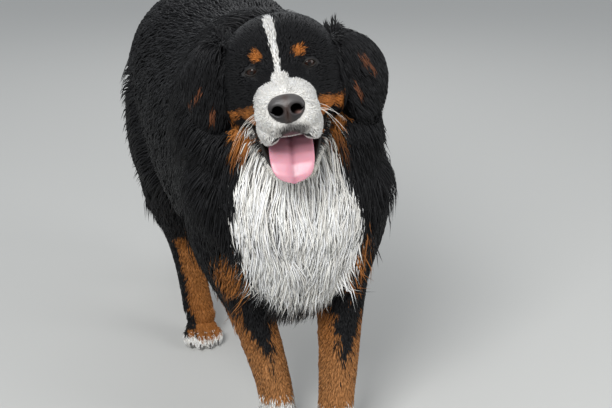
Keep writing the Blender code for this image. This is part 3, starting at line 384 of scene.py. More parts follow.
def ear_sheet(side, rows=28, columns=17):
    """The middle of an ear's flap as a grid: from root to tip along its spine, and across its
    width, bent into a cup that faces the head. Also its outward direction."""
    spine = through(EAR_SPINE, rows)
    across = unit(through(EAR_ACROSS, rows))
    v = np.linspace(-1, 1, columns)[None, :, None]
    along = unit(np.gradient(spine[:, :3], axis=0))
    out = unit(np.cross(along, across))
    half = spine[:, 3][:, None, None]
    grid = spine[:, None, :3] + across[:, None, :] * half * v
    bow = np.sign(out[:, None, :1]) * half
    grid = grid - out[:, None, :] * bow * EAR_CUP * v**2
    wrinkle = 0.0022 * np.sin(6 * v + np.linspace(0, 5, rows)[:, None, None]) * np.abs(v)
    grid = grid + out[:, None, :] * wrinkle
    reach, lower = EAR_CARRIAGE[side]
    grid = grid * np.array([side * reach, 1, 1]) - np.array([0, 0, lower])
    out = out * np.array([side, 1, 1]) * np.sign(out[:, :1])
    return grid, out


def ear_form(side):
    """An ear's flap with an even thickness, thinner at its rim."""
    grid, out = ear_sheet(side)
    rows, columns = grid.shape[:2]
    v = np.linspace(-1, 1, columns)[None, :, None]
    wall = EAR_THICKNESS / 2 * (1 - 0.45 * v**4)
    top, under = grid + out[:, None, :] * wall, grid - out[:, None, :] * wall
    rings = np.concatenate([top, under[:, ::-1]], axis=1)
    points = np.vstack([rings.reshape(-1, 3), grid[0].mean(axis=0)[None], grid[-1].mean(axis=0)[None]])
    return points, *ring_faces(rows, 2 * columns)


# Lines of the lips in the head's frame, on the left side
JAW_LIP = through([(0.030, -0.058, 0.054), *[(r[0], r[1], r[3]) for r in JAW[2:7]]], 12)
LOWER_LIP = moved(
    np.stack([JAW_LIP[:, 2] - 0.001, -JAW_LIP[:, 0], JAW_LIP[:, 1] - 0.003], axis=1), OPEN_JAW
)
LOWER_LIP_RIGHT = moved(
    np.stack([0.001 - JAW_LIP[:, 2], -JAW_LIP[:, 0], JAW_LIP[:, 1] - 0.003], axis=1), OPEN_JAW
)
UPPER_LIP = np.array(
    [
        (0.060, -0.026, -0.062),
        (0.053, -0.055, -0.076),
        (0.045, -0.085, -0.084),
        (0.037, -0.115, -0.085),
        (0.031, -0.142, -0.080),
        (0.019, -0.157, -0.0725),
        (0.006, -0.166, -0.063),
    ]
)
LIP_RADIUS = 0.0042
UPPER_LIP_RADIUS = 0.0028


def settle(made):
    """Turns the object's modifiers into its mesh."""
    graph = bpy.context.evaluated_depsgraph_get()
    mesh = bpy.data.meshes.new_from_object(made.evaluated_get(graph))
    made.modifiers.clear()
    made.data = mesh
    return made


def fused(name, forms, voxel, passes):
    """One closed skin round overlapping forms, then smoothed."""
    points, groups, count = [], {}, 0
    for form in forms:
        points.append(form[0])
        for faces in form[1:]:
            groups.setdefault(faces.shape[1], []).append(faces + count)
        count += len(form[0])
    made = mesh_object(name, np.vstack(points), *[np.vstack(group) for group in groups.values()])
    remesh = made.modifiers.new("skin", "REMESH")
    remesh.mode = "VOXEL"
    remesh.voxel_size = voxel
    soften = made.modifiers.new("soften", "SMOOTH")
    soften.factor = 0.5
    soften.iterations = passes
    return settle(made)


def points_of(mesh):
    """The mesh's vertices as an array, a row each."""
    found = np.empty(len(mesh.vertices) * 3, np.float32)
    mesh.vertices.foreach_get("co", found)
    return found.reshape(-1, 3).astype(float)


def normals_of(mesh):
    """The normals of the mesh's vertices as an array, a row each."""
    found = np.empty(len(mesh.vertices) * 3, np.float32)
    mesh.vertex_normals.foreach_get("vector", found)
    return found.reshape(-1, 3).astype(float)


def paw_forms(name):
    """The pad, toes and back of a paw, overlapping, with the toes to -Y."""
    centre, heading, size = PAWS[name]
    forms = [
        ellipsoid((0, 0.004, 0.022), (0.034, 0.037, 0.026)),
        ellipsoid((0, 0.014, 0.050), (0.029, 0.028, 0.030)),
    ]
    for side, ahead in TOES:
        forms.append(ellipsoid((side, -ahead, 0.0165), (0.0130, 0.027, 0.0165), (0.12, 0, 0)))
    place = Matrix.Translation(centre) @ Matrix.Rotation(heading, 4, "Z") @ Matrix.Scale(size, 4)
    return [(moved(form[0], place), *form[1:]) for form in forms]


# The opening between the lids, in the eye's own frame: half its length, and how far the upper and
# the lower lid are from the line between its corners
LID_HALF = 0.0122
LID_UP = 0.0060
LID_DOWN = 0.0042
LID_WALL = 0.0016
GAZE = (math.radians(8), math.radians(5), math.radians(13))


def gaze_matrix(side):
    """Turns the eye's own frame, which looks to -Y, to where the eye looks."""
    return Euler((GAZE[0], GAZE[1] * side, GAZE[2] * side)).to_matrix()


def eye_frame(points, side):
    """The points in the eye's own frame, with X towards the outer corner."""
    local = (points - mirrored(EYE_PLACE, side)) @ np.array(gaze_matrix(side))
    return local * np.array([side, 1, 1])


def lid_opening(local):
    """How far a point is inside the opening between the lids, below 0 outside it."""
    x = np.clip(local[:, 0] / LID_HALF, -1.6, 1.6)
    bow = 1 - x**2
    upper = LID_UP * bow * (1 + 0.22 * x) - local[:, 2] - 0.0006 * x
    lower = LID_DOWN * bow * (1 - 0.25 * x) + local[:, 2] + 0.0006 * x
    return np.minimum(upper, lower)


def set_eyes(points):
    """Lays the skin round each eye over the eyeball as lids, and sinks it behind the eyeball
    inside the opening, with a fold above and a pouch below."""
    for side in (-1, 1):
        local = eye_frame(points, side)
        far = np.linalg.norm(local, axis=1)
        off = np.hypot(local[:, 0], local[:, 2] * 1.15)
        ahead = local[:, 1] < 0.001
        near = (1 - smooth(0.0125, 0.0200, off)) * ahead * (far < 0.034)
        opening = lid_opening(local)
        fold = 0.0012 * np.exp(-(((opening + 0.0042) / 0.0012) ** 2)) * (local[:, 2] > 0)
        pouch = 0.0010 * np.exp(-(((opening + 0.0050) / 0.0016) ** 2)) * (local[:, 2] < 0)
        rim = 0.0005 * np.exp(-(((opening + 0.0006) / 0.0007) ** 2))
        lid = EYE_RADIUS + LID_WALL + rim - fold - pouch
        lid = lid + 0.22 * np.maximum(off - 0.0118, 0)
        inside = EYE_RADIUS - 0.0035
        target = lid + (inside - lid) * smooth(-0.0002, 0.0006, opening)
        wanted = local / (far[:, None] + 1e-9) * target[:, None]
        local = local + (wanted - local) * near[:, None]
        back = (local * np.array([side, 1, 1])) @ np.array(gaze_matrix(side)).T
        points = np.where(near[:, None] > 0, back + mirrored(EYE_PLACE, side), points)
    return points


def refine(made, centres, reach, times):
    """Splits the faces round the centres in four, as many times as asked."""
    shape = bmesh.new()
    shape.from_mesh(made.data)
    for turn in range(times):
        near = reach * (1 - 0.12 * turn)
        edges = [
            edge
            for edge in shape.edges
            if any((edge.verts[0].co - centre).length < near for centre in centres)
        ]
        bmesh.ops.subdivide_edges(shape, edges=edges, cuts=1, use_grid_fill=True, smooth=0.0)
    shape.to_mesh(made.data)
    shape.free()


def dents(points, normals):
    """The head's smaller forms, each a soft dent or swelling along the skin's normal: the furrow of
    the forehead, the hollows beside the stop, and the groove below the nose."""
    x, y, z = points.T
    push = -0.0030 * np.exp(-((x / 0.007) ** 2)) * smooth(0.0, 0.03, z) * smooth(-0.01, 0.03, -y)
    for side in (-1, 1):
        hollow = np.array([0.019 * side, -0.083, 0.010])
        push -= 0.0035 * np.exp(-((np.linalg.norm(points - hollow, axis=1) / 0.011) ** 2))
        under = np.array([0.047 * side, -0.082, -0.012])
        push -= 0.0025 * np.exp(-((np.linalg.norm(points - under, axis=1) / 0.013) ** 2))
        pad = np.abs(np.sin((z + 0.03) * 420)) * np.exp(
            -((np.linalg.norm(points - np.array([0.036 * side, -0.142, -0.045]), axis=1) / 0.018) ** 2)
        )
        push += 0.0005 * pad
    groove = np.exp(-((x / 0.0022) ** 2)) * smooth(0.150, 0.160, -y) * smooth(-0.085, -0.06, z)
    push -= 0.0030 * groove * (z < -0.035)
    return points + normals * push[:, None]


def head_skin():
    """Skull, cheeks, lips, jaw and ears as one skin, in the head's own frame."""
    forms = [head_form(SKULL, -0.0028)]
    jaw = head_form(JAW, -0.0015)
    forms.append((moved(jaw[0], OPEN_JAW), *jaw[1:]))
    for side in (-1, 1):
        for at, radii in (CHEEK, BROW, FLEW, WHISKER_PAD):
            forms.append(ellipsoid(mirrored(at, side), radii))
        forms.append(ellipsoid(mirrored(EYE_PLACE, side), [EYE_RADIUS + LID_WALL] * 3))
        lower = LOWER_LIP if side > 0 else LOWER_LIP_RIGHT
        forms.append(roll(lower, LIP_RADIUS))
        forms.append(roll(UPPER_LIP * np.array([side, 1, 1]), UPPER_LIP_RADIUS))
        forms.append(ear_form(side))
    neck = limb(NECK)
    forms.append((moved(neck[0], TO_HEAD), *neck[1:]))
    made = fused("head_skin", forms, HEAD_VOXEL, 3)
    refine(made, [Vector(mirrored(EYE_PLACE, side)) for side in (-1, 1)], 0.026, 2)
    points = dents(points_of(made.data), normals_of(made.data))
    points = set_eyes(points)
    made.data.vertices.foreach_set("co", moved(points, HEAD).astype(np.float32).ravel())
    made.data.update()
    return made


def join(made, others):
    """The objects as one closed skin."""
    group = bpy.data.collections.new("operands")
    for other in others:
        group.objects.link(other)
    step = made.modifiers.new("join", "BOOLEAN")
    step.operation = "UNION"
    step.solver = "MANIFOLD"
    step.operand_type = "COLLECTION"
    step.collection = group
    settle(made)
    for other in others:
        bpy.data.objects.remove(other)
    bpy.data.collections.remove(group)
    return made


def seat_nose(made):
    """Sinks the skin behind the nose leather, so that the nostrils open into the leather alone."""
    h = moved(points_of(made.data), TO_HEAD)
    inside = ball_field(h, NOSE_PLACE, (NOSE_WIDTH / 2 - 0.001, 0.030, 0.0190))
    share = smooth(0.0, 0.006, inside) * (h[:, 1] < -0.14)
    h[:, 1] += NOSE_SEAT * share
    made.data.vertices.foreach_set("co", moved(h, HEAD).astype(np.float32).ravel())


def build_skin():
    """The whole dog's skin, with its soles flat on the floor."""
    limbs = (TORSO, NECK, TAIL, FORELEG_LEFT, FORELEG_RIGHT, HINDLEG_LEFT, HINDLEG_RIGHT)
    made = fused("skin", [limb(rows) for rows in limbs], BODY_VOXEL, 5)
    paws = fused("paws", [form for name in PAWS for form in paw_forms(name)], PAW_VOXEL, 2)
    flat = points_of(paws.data)
    flat[:, 2] = np.maximum(flat[:, 2], 0.0)
    paws.data.vertices.foreach_set("co", flat.astype(np.float32).ravel())
    join(made, [head_skin(), paws])
    seat_nose(made)
    made.data.transform(Matrix.Translation(SHIFT))
    return made


# What each part of the coat is grown from
PARTS = ["torso", "neck", "tail", "foreleg", "hindleg", "skull", "jaw", "ear"]
TORSO_PART, NECK_PART, TAIL_PART, FORELEG_PART, HINDLEG_PART, SKULL_PART, JAW_PART, EAR_PART = range(8)


def part_samples():
    """Centres along every part, with each one's mean radius, coat, direction, part, place along it
    from 0 to 1, and place in the atlas of the bake."""
    rows = []
    limbs = [
        (TORSO, TORSO_PART),
        (NECK, NECK_PART),
        (TAIL, TAIL_PART),
        (FORELEG_LEFT, FORELEG_PART),
        (FORELEG_RIGHT, FORELEG_PART),
        (HINDLEG_LEFT, HINDLEG_PART),
        (HINDLEG_RIGHT, HINDLEG_PART),
    ]
    for tile, (table, part) in enumerate(limbs):
        fine = through(table, 40)
        way = unit(np.gradient(fine[:, :3], axis=0))
        radius = fine[:, 3:6].mean(axis=1)
        share = np.linspace(0, 1, 40)
        rows += [(*f[:3], r, f[6], *w, part, s, tile) for f, r, w, s in zip(fine, radius, way, share)]
    for tile, table, part, swing in ((7, SKULL, SKULL_PART, np.eye(4)), (8, JAW, JAW_PART, OPEN_JAW)):
        fine = through(table, 24)
        at = np.stack([0 * fine[:, 0], -fine[:, 0], (fine[:, 1] + fine[:, 2]) / 2], axis=1)
        at = moved(moved(at, swing), HEAD)
        way = unit(np.gradient(at, axis=0))
        radius = (fine[:, 3] + (fine[:, 1] - fine[:, 2]) / 2) / 2
        share = np.linspace(0, 1, 24)
        rows += [(*p, r, 0.01, *w, part, s, tile) for p, r, w, s in zip(at, radius, way, share)]
    for tile, side in ((9, 1), (10, -1)):
        grid = ear_sheet(side, 10, 7)[0]
        at = moved(grid[2:].reshape(-1, 3), HEAD)
        share = np.repeat(np.linspace(0.2, 1, 8), 7)
        rows += [(*p, 0.004, 0.02, 0, 0, -1, EAR_PART, s, tile) for p, s in zip(at, share)]
    return np.array(rows)


SAMPLES = part_samples()


def nearest_sample(points):
    """The index of the sample whose part each point belongs to."""
    found = np.empty(len(points), int)
    for start in range(0, len(points), 20000):
        some = points[start : start + 20000]
        away = np.linalg.norm(some[:, None, :] - SAMPLES[None, :, :3], axis=2)
        found[start : start + 20000] = np.argmin(away / (SAMPLES[:, 3] + 0.02), axis=1)
    return found


def ripple(points, size):
    """A soft pattern of bumps of about this size, between -1 and 1."""
    x, y, z = (points / size).T
    return (
        np.sin(x * 2.1 + 1.3 * np.sin(y * 1.7 + z))
        + np.sin(y * 2.3 + 1.1 * np.sin(z * 1.9 - x))
        + np.sin(z * 2.7 + 1.2 * np.sin(x * 1.5 + y * 0.7))
    ) / 3


def away_from(points, path):
    """How far each point is from a curve through the path."""
    fine = through(path, 60)
    return np.linalg.norm(points[:, None, :] - fine[None, :, :], axis=2).min(axis=1)


def ball_field(points, centre, radii):
    """How far inside an ellipsoid each point is, in metres, below 0 outside it."""
    off = np.linalg.norm((points - np.array(centre)) / np.array(radii), axis=1)
    return (1 - off) * min(radii)


# The edge of the white bib: at each height the middle and half of its width
BIB_HEIGHT = [0.250, 0.270, 0.310, 0.370, 0.410, 0.461, 0.480, 0.510, 0.555, 0.580]
BIB_MIDDLE = [0.008, 0.009, -0.002, -0.008, -0.016, -0.0195, -0.026, -0.0305, -0.029, -0.032]
BIB_HALF = [0.000, 0.040, 0.080, 0.092, 0.095, 0.0915, 0.087, 0.0755, 0.059, 0.045]
# The tan streaks in the hair of the ears, in the head's frame
EAR_STREAKS = [
    [(0.120, 0, -0.004), (0.132, 0, -0.018), (0.139, 0, -0.034)],
    [(0.108, 0, -0.044), (0.111, 0, -0.056), (0.116, 0, -0.068)],
    [(-0.128, 0, -0.022), (-0.138, 0, -0.030), (-0.148, 0, -0.040)],
    [(-0.115, 0, -0.050), (-0.115, 0, -0.058), (-0.116, 0, -0.066)],
]
EAR_STREAK_HALF = 0.0028
# The blaze's middle and half its width at distances ahead of the skull's centre
BLAZE_AHEAD = [-0.010, 0.020, 0.036, 0.061, 0.0745, 0.094, 0.104]
BLAZE_MIDDLE = [-0.0075, -0.0073, -0.0070, -0.0050, -0.0040, -0.0045, -0.0030]
BLAZE_HALF = [0.0055, 0.0076, 0.0074, 0.0058, 0.0042, 0.0046, 0.0125]
# The tan spots over the eyes
BROW_PLACES = [(-0.0325, -0.068, 0.0315), (0.0300, -0.068, 0.0330)]
BROW_RADII = (0.0092, 0.016, 0.0088)
# The lower edge of the black on the cheeks, and how far out the tan of each cheek goes
CHEEK_AHEAD = [-0.050, 0.010, 0.050, 0.090]
CHEEK_TOP = [-0.070, -0.053, -0.043, -0.034]
CHEEK_DROP = [-0.180, -0.160, -0.130, -0.100, -0.050]
CHEEK_REACH = {-1: [0.076, 0.092, 0.101, 0.106, 0.100], 1: [0.060, 0.072, 0.080, 0.087, 0.098]}
# How wide the black along the lower lip is from its corner to its front
LIP_AHEAD = [0.010, 0.050, 0.090, 0.120]
LIP_BLACK = [0.030, 0.021, 0.0125, 0.0065]
FAR = -1.0


def past_lip(h):
    """How far each point, in the head's frame, is beyond the black hair along the lower lips."""
    lower = lip_distance(h)[0]
    return lower - np.interp(-h[:, 1], LIP_AHEAD, LIP_BLACK)


def white_field(p, h, part):
    """How far inside the white markings each point is: the blaze, the muzzle and jaw, the throat
    and bib, the feet, and the tip of the tail."""
    ahead = -h[:, 1]
    head = (part == SKULL_PART) | (part == JAW_PART)
    half = np.interp(ahead, BLAZE_AHEAD, BLAZE_HALF)
    middle = np.interp(ahead, BLAZE_AHEAD, BLAZE_MIDDLE)
    blaze = np.minimum(half - np.abs(h[:, 0] - middle), ahead + 0.014)
    blaze = np.where(head & (h[:, 2] > -0.03), blaze, FAR)
    climb = np.clip((h[:, 2] + 0.024) / 0.024, 0, 1.2)
    muzzle = ahead - (0.095 + 0.024 * climb + 0.008 * smooth(0.020, 0.035, h[:, 0]))
    muzzle = np.where(head, muzzle, FAR)
    chin = np.where(part == JAW_PART, np.maximum(ahead - 0.055, -0.112 - h[:, 2]), FAR)
    throat = np.minimum(0.060 - np.abs(h[:, 0]), -0.106 - h[:, 2])
    throat = np.where(head | (part == NECK_PART), np.minimum(throat, 0.030 - h[:, 1]), FAR)
    middle = np.interp(p[:, 2], BIB_HEIGHT, BIB_MIDDLE)
    half = np.interp(p[:, 2], BIB_HEIGHT, BIB_HALF)
    bib = np.minimum(half - np.abs(p[:, 0] - middle), -0.215 - p[:, 1])
    bib = np.min([bib, p[:, 2] - 0.268, 0.570 - p[:, 2]], axis=0)
    feet = np.where(part == FORELEG_PART, 0.082 - p[:, 2], FAR)
    feet = np.where(part == HINDLEG_PART, 0.022 - p[:, 2], feet)
    tip = np.where(part == TAIL_PART, 0.225 - p[:, 2], FAR)
    below_mouth = np.minimum(np.max([chin, throat, bib], axis=0), past_lip(h))
    below_mouth = np.where(part == SKULL_PART, FAR, below_mouth)
    return np.max([blaze, muzzle, below_mouth, feet, tip], axis=0)


def tan_field(p, h, part, normal):
    """How far inside the tan markings each point is: the spots over the eyes, the cheeks, the sides
    of the chest, the legs but for the black down their front, and below the tail."""
    ahead = -h[:, 1]
    head = (part == SKULL_PART) | (part == JAW_PART) | (part == NECK_PART)
    brow = np.max(
        [ball_field(h, place, BROW_RADII) for place in BROW_PLACES],
        axis=0,
    )
    top = np.interp(ahead, CHEEK_AHEAD, CHEEK_TOP)
    reach = np.where(
        h[:, 0] > 0,
        np.interp(h[:, 2], CHEEK_DROP, CHEEK_REACH[1]),
        np.interp(h[:, 2], CHEEK_DROP, CHEEK_REACH[-1]),
    )
    out = np.abs(h[:, 0])
    cheek = np.min(
        [top - h[:, 2], out - 0.044, reach - out, ahead + 0.050, h[:, 2] + 0.180, past_lip(h)], axis=0
    )
    cheek = np.where(head, cheek, FAR)
    patch = np.maximum(
        ball_field(p, (-0.103, -0.290, 0.318), (0.024, 0.070, 0.050)),
        ball_field(p, (0.098, -0.350, 0.330), (0.022, 0.070, 0.052)),
    )
    side = np.sign(p[:, 0] - 0.023)
    leg = SAMPLES[nearest_sample(p), :3]
    front = np.maximum(0, -normal[:, 1])
    wedge = (p[:, 2] - 0.150) * 0.30 - np.abs(p[:, 0] - leg[:, 0])
    wedge = np.where(front > 0.15, wedge, FAR)
    inner = -normal[:, 0] * side
    fore = np.minimum(0.275 + 0.05 * inner - p[:, 2], -wedge)
    fore = np.where(part == FORELEG_PART, fore, FAR)
    strip = (normal[:, 1] * 0.3 - inner - 0.40) * 0.05
    hind = np.minimum(0.215 + 0.10 * np.maximum(inner, 0) - p[:, 2], -strip)
    hind = np.where(part == HINDLEG_PART, hind, FAR)
    vent = np.min([0.045 - np.abs(p[:, 0]), p[:, 1] - 0.420, 0.520 - p[:, 2]], axis=0)
    vent = np.where(part == TAIL_PART, FAR, vent)
    flat = h * np.array([1, 0, 1])
    streaks = [EAR_STREAK_HALF - away_from(flat, np.array(path, float)) for path in EAR_STREAKS]
    ear_in = np.where(part == EAR_PART, np.max(streaks, axis=0), FAR)
    return np.max([brow, cheek, patch, fore, hind, vent, ear_in], axis=0)


def linear(code):
    """The linear colour of an sRGB hex code."""
    parts = np.array([int(code[i : i + 2], 16) for i in (0, 2, 4)]) / 255
    return np.where(parts <= 0.04045, parts / 12.92, ((parts + 0.055) / 1.055) ** 2.4)


BLACK = linear("121214")
DEEP_TAN = linear("5A3216")
TAN = linear("94602F")
BRIGHT_TAN = linear("C97B36")
SAND = linear("BC8654")
EAR_TAN = linear("5E3827")
WHITE = linear("F8F5EF")
# A darker warm white, for painted shade on the throat under the head
SHADED_WHITE = linear("DCD0B4")
GREY = linear("6A6665")
LIP = linear("17130F")
MOUTH = linear("3A1216")
# How dark the underfur is beside the guard hair, and at what share of the coat's depth it is seen
UNDERFUR_TONE = 0.9
SHOWS_AT = 0.25


def mix(a, b, share):
    """Colour a where the share is 0, b where it is 1, and in between their weighted mean."""
    share = np.asarray(share)[..., None]
    return a * (1 - share) + b * share


def coat_colour(points, part, normal, ragged):
    """The coat's colour at each point. Ragged moves each edge of the markings."""
    p = points - SHIFT
    h = moved(p, TO_HEAD)
    head = np.isin(part, (SKULL_PART, JAW_PART, EAR_PART))
    edge = ragged * np.where(head, 0.0008, 0.0050) + ripple(p, 0.02) * np.where(head, 0.0006, 0.004)
    white = white_field(p, h, part) + edge
    tan = tan_field(p, h, part, normal) + edge + head * (0.0010 * ragged + 0.0022 * ripple(p, 0.015))
    is_white = smooth(-0.0004, 0.0004, white)
    is_tan = smooth(-0.0004, 0.0004, tan) * (1 - is_white)
    # The tan's tone varies at random and is brighter above eye level; the head's left side is painted
    # lighter, as painted light on the side the light falls on
    tan_tone_and_lit_side = np.where(head, 0.55 + 0.35 * ripple(p, 0.03) + 0.4 * (h[:, 2] > 0.01), 0.25)
    tan_tone_and_lit_side = tan_tone_and_lit_side + 0.25 * smooth(0.0, 0.05, h[:, 0]) * head + 0.2 * ripple(p, 0.08)
    tan_colour = mix(TAN, BRIGHT_TAN, np.clip(tan_tone_and_lit_side, 0, 1))
    tan_colour = mix(tan_colour, DEEP_TAN, smooth(0.008, 0.0, tan) * 0.55)
    low = smooth(0.26, 0.12, p[:, 2]) * (part == FORELEG_PART)
    tan_colour = mix(tan_colour, SAND, low * 0.7)
    tan_colour = mix(tan_colour, EAR_TAN, (part == EAR_PART) * 0.9)
    shadow = smooth(-0.06, -0.10, h[:, 0]) * smooth(-0.04, -0.09, h[:, 2]) * head
    tan_colour = mix(tan_colour, DEEP_TAN, shadow * 0.6)
    # Painted shade under the head: below the jaw the tan is darkened and the white of the throat is turned a
    # darker warm white
    tan_colour = mix(tan_colour, DEEP_TAN, smooth(-0.105, -0.135, h[:, 2]) * (p[:, 2] > 0.44) * 0.7)
    throat_shade = smooth(-0.10, -0.16, h[:, 2]) * smooth(0.50, 0.58, p[:, 2]) * 0.6
    white_colour = mix(mix(WHITE, SHADED_WHITE, throat_shade), GREY, 0.10 * smooth(0.2, 1, ripple(p, 0.012)))
    colour = mix(BLACK, tan_colour, is_tan)
    colour = mix(colour, white_colour, is_white)
    # The first ball is painted shade below the nose leather, dark grey down to the upper lip; the second is a
    # small brown spot
    below_nose_shade = ball_field(h, (0.004, -0.168, -0.064), (0.027, 0.022, 0.018))
    spot = ball_field(h, (-0.024, -0.160, -0.052), (0.004, 0.010, 0.004))
    colour = mix(colour, GREY * 0.35, smooth(-0.002, 0.009, below_nose_shade) * 0.85)
    return mix(colour, DEEP_TAN, smooth(-0.001, 0.001, spot) * 0.7)


def mouth_field(h):
    """How far each point, in the head's frame, is inside the mouth."""
    ahead = -h[:, 1]
    floor = np.interp(ahead, -LOWER_LIP[:, 1], LOWER_LIP[:, 2])
    roof = np.interp(ahead, -UPPER_LIP[:, 1], UPPER_LIP[:, 2])
    half = np.interp(ahead, -LOWER_LIP[:, 1], LOWER_LIP[:, 0])
    return np.min([h[:, 2] - floor + 0.006, roof + 0.004 - h[:, 2], half - np.abs(h[:, 0]), ahead - 0.02], 0)


def lip_distance(h):
    """How far each point, in the head's frame, is from the lower and from the upper lip."""
    lower = np.minimum(away_from(h, LOWER_LIP), away_from(h, LOWER_LIP_RIGHT))
    flipped = h * np.array([-1, 1, 1])
    upper = np.minimum(away_from(h, UPPER_LIP), away_from(flipped, UPPER_LIP))
    return lower, upper


def paint_skin(made):
    """Lays the markings, the lips, the lids and the mouth's lining on the skin as a colour
    attribute, with how wet each place is in its alpha."""
    points, normals = points_of(made.data), normals_of(made.data)
    sample = SAMPLES[nearest_sample(points - SHIFT)]
    part, depth = sample[:, 8], sample[:, 4]
    h = moved(points - SHIFT, TO_HEAD)
    body = ~np.isin(part, (SKULL_PART, JAW_PART, EAR_PART))
    shows = points + normals * (SHOWS_AT * depth)[:, None] * body[:, None]
    colour = coat_colour(shows, part, normals, np.zeros(len(points))) * UNDERFUR_TONE
    lower, upper = lip_distance(h)
    near = np.isin(part, (SKULL_PART, JAW_PART))
    lip = (1 - smooth(0.0050, 0.0075, lower)) * near
    rim = (1 - smooth(0.0026, 0.0042, upper - 0.0018 * smooth(-0.145, -0.155, h[:, 1]))) * near
    behind = ball_field(h, NOSE_PLACE, (0.0255, 0.030, 0.0192))
    rim = np.maximum(rim, (behind > 0) * (h[:, 1] < -0.14) * near)
    # Painted shade on the skin just round the nose leather
    beside = smooth(-0.006, -0.001, behind) * (h[:, 1] < -0.13) * near
    colour = colour * (1 - 0.45 * beside)[:, None]
    inside = smooth(0.0, 0.003, mouth_field(h)) * near
    facing_down = -(normals @ TO_HEAD[:3, :3].T)[:, 2]
    under = smooth(0.25, 0.50, facing_down) * (upper < 0.016) * (h[:, 1] < -0.06) * (part == SKULL_PART)
    # Painted shade: the neck's skin in the corner under the jaw is painted black
    corner = smooth(-0.125, -0.115, h[:, 2]) * (h[:, 1] < 0.04) * (part == NECK_PART)
    colour = mix(colour, BLACK * UNDERFUR_TONE, corner)
    rim = np.maximum(rim, under)
    colour = mix(colour, MOUTH, inside)
    colour = mix(colour, LIP, np.maximum(lip, rim))
    wet = np.max([inside, lip * 0.9, rim * 0.8], axis=0)
    for side in (-1, 1):
        local = eye_frame(h, side)
        opening = lid_opening(local)
        close = (np.linalg.norm(local, axis=1) < 0.020) & (local[:, 1] < 0)
        band = smooth(-0.0028, -0.0010, opening) * close
        colour = mix(colour, LIP, band)
        wet = np.maximum(wet, band * 0.2)
    layer = made.data.color_attributes.new("Coat", "FLOAT_COLOR", "POINT")
    layer.data.foreach_set("color", np.column_stack([colour, wet]).astype(np.float32).ravel())


# The spacing of the strands' roots and half of a strand's width, for strands of these lengths
STRAND_LENGTHS = [0.006, 0.013, 0.03, 0.06, 0.10]
STRAND_SPACINGS = [0.0018, 0.0024, 0.0034, 0.0046, 0.0055]
STRAND_HALVES = [0.0005, 0.0008, 0.0012, 0.0015, 0.0017]


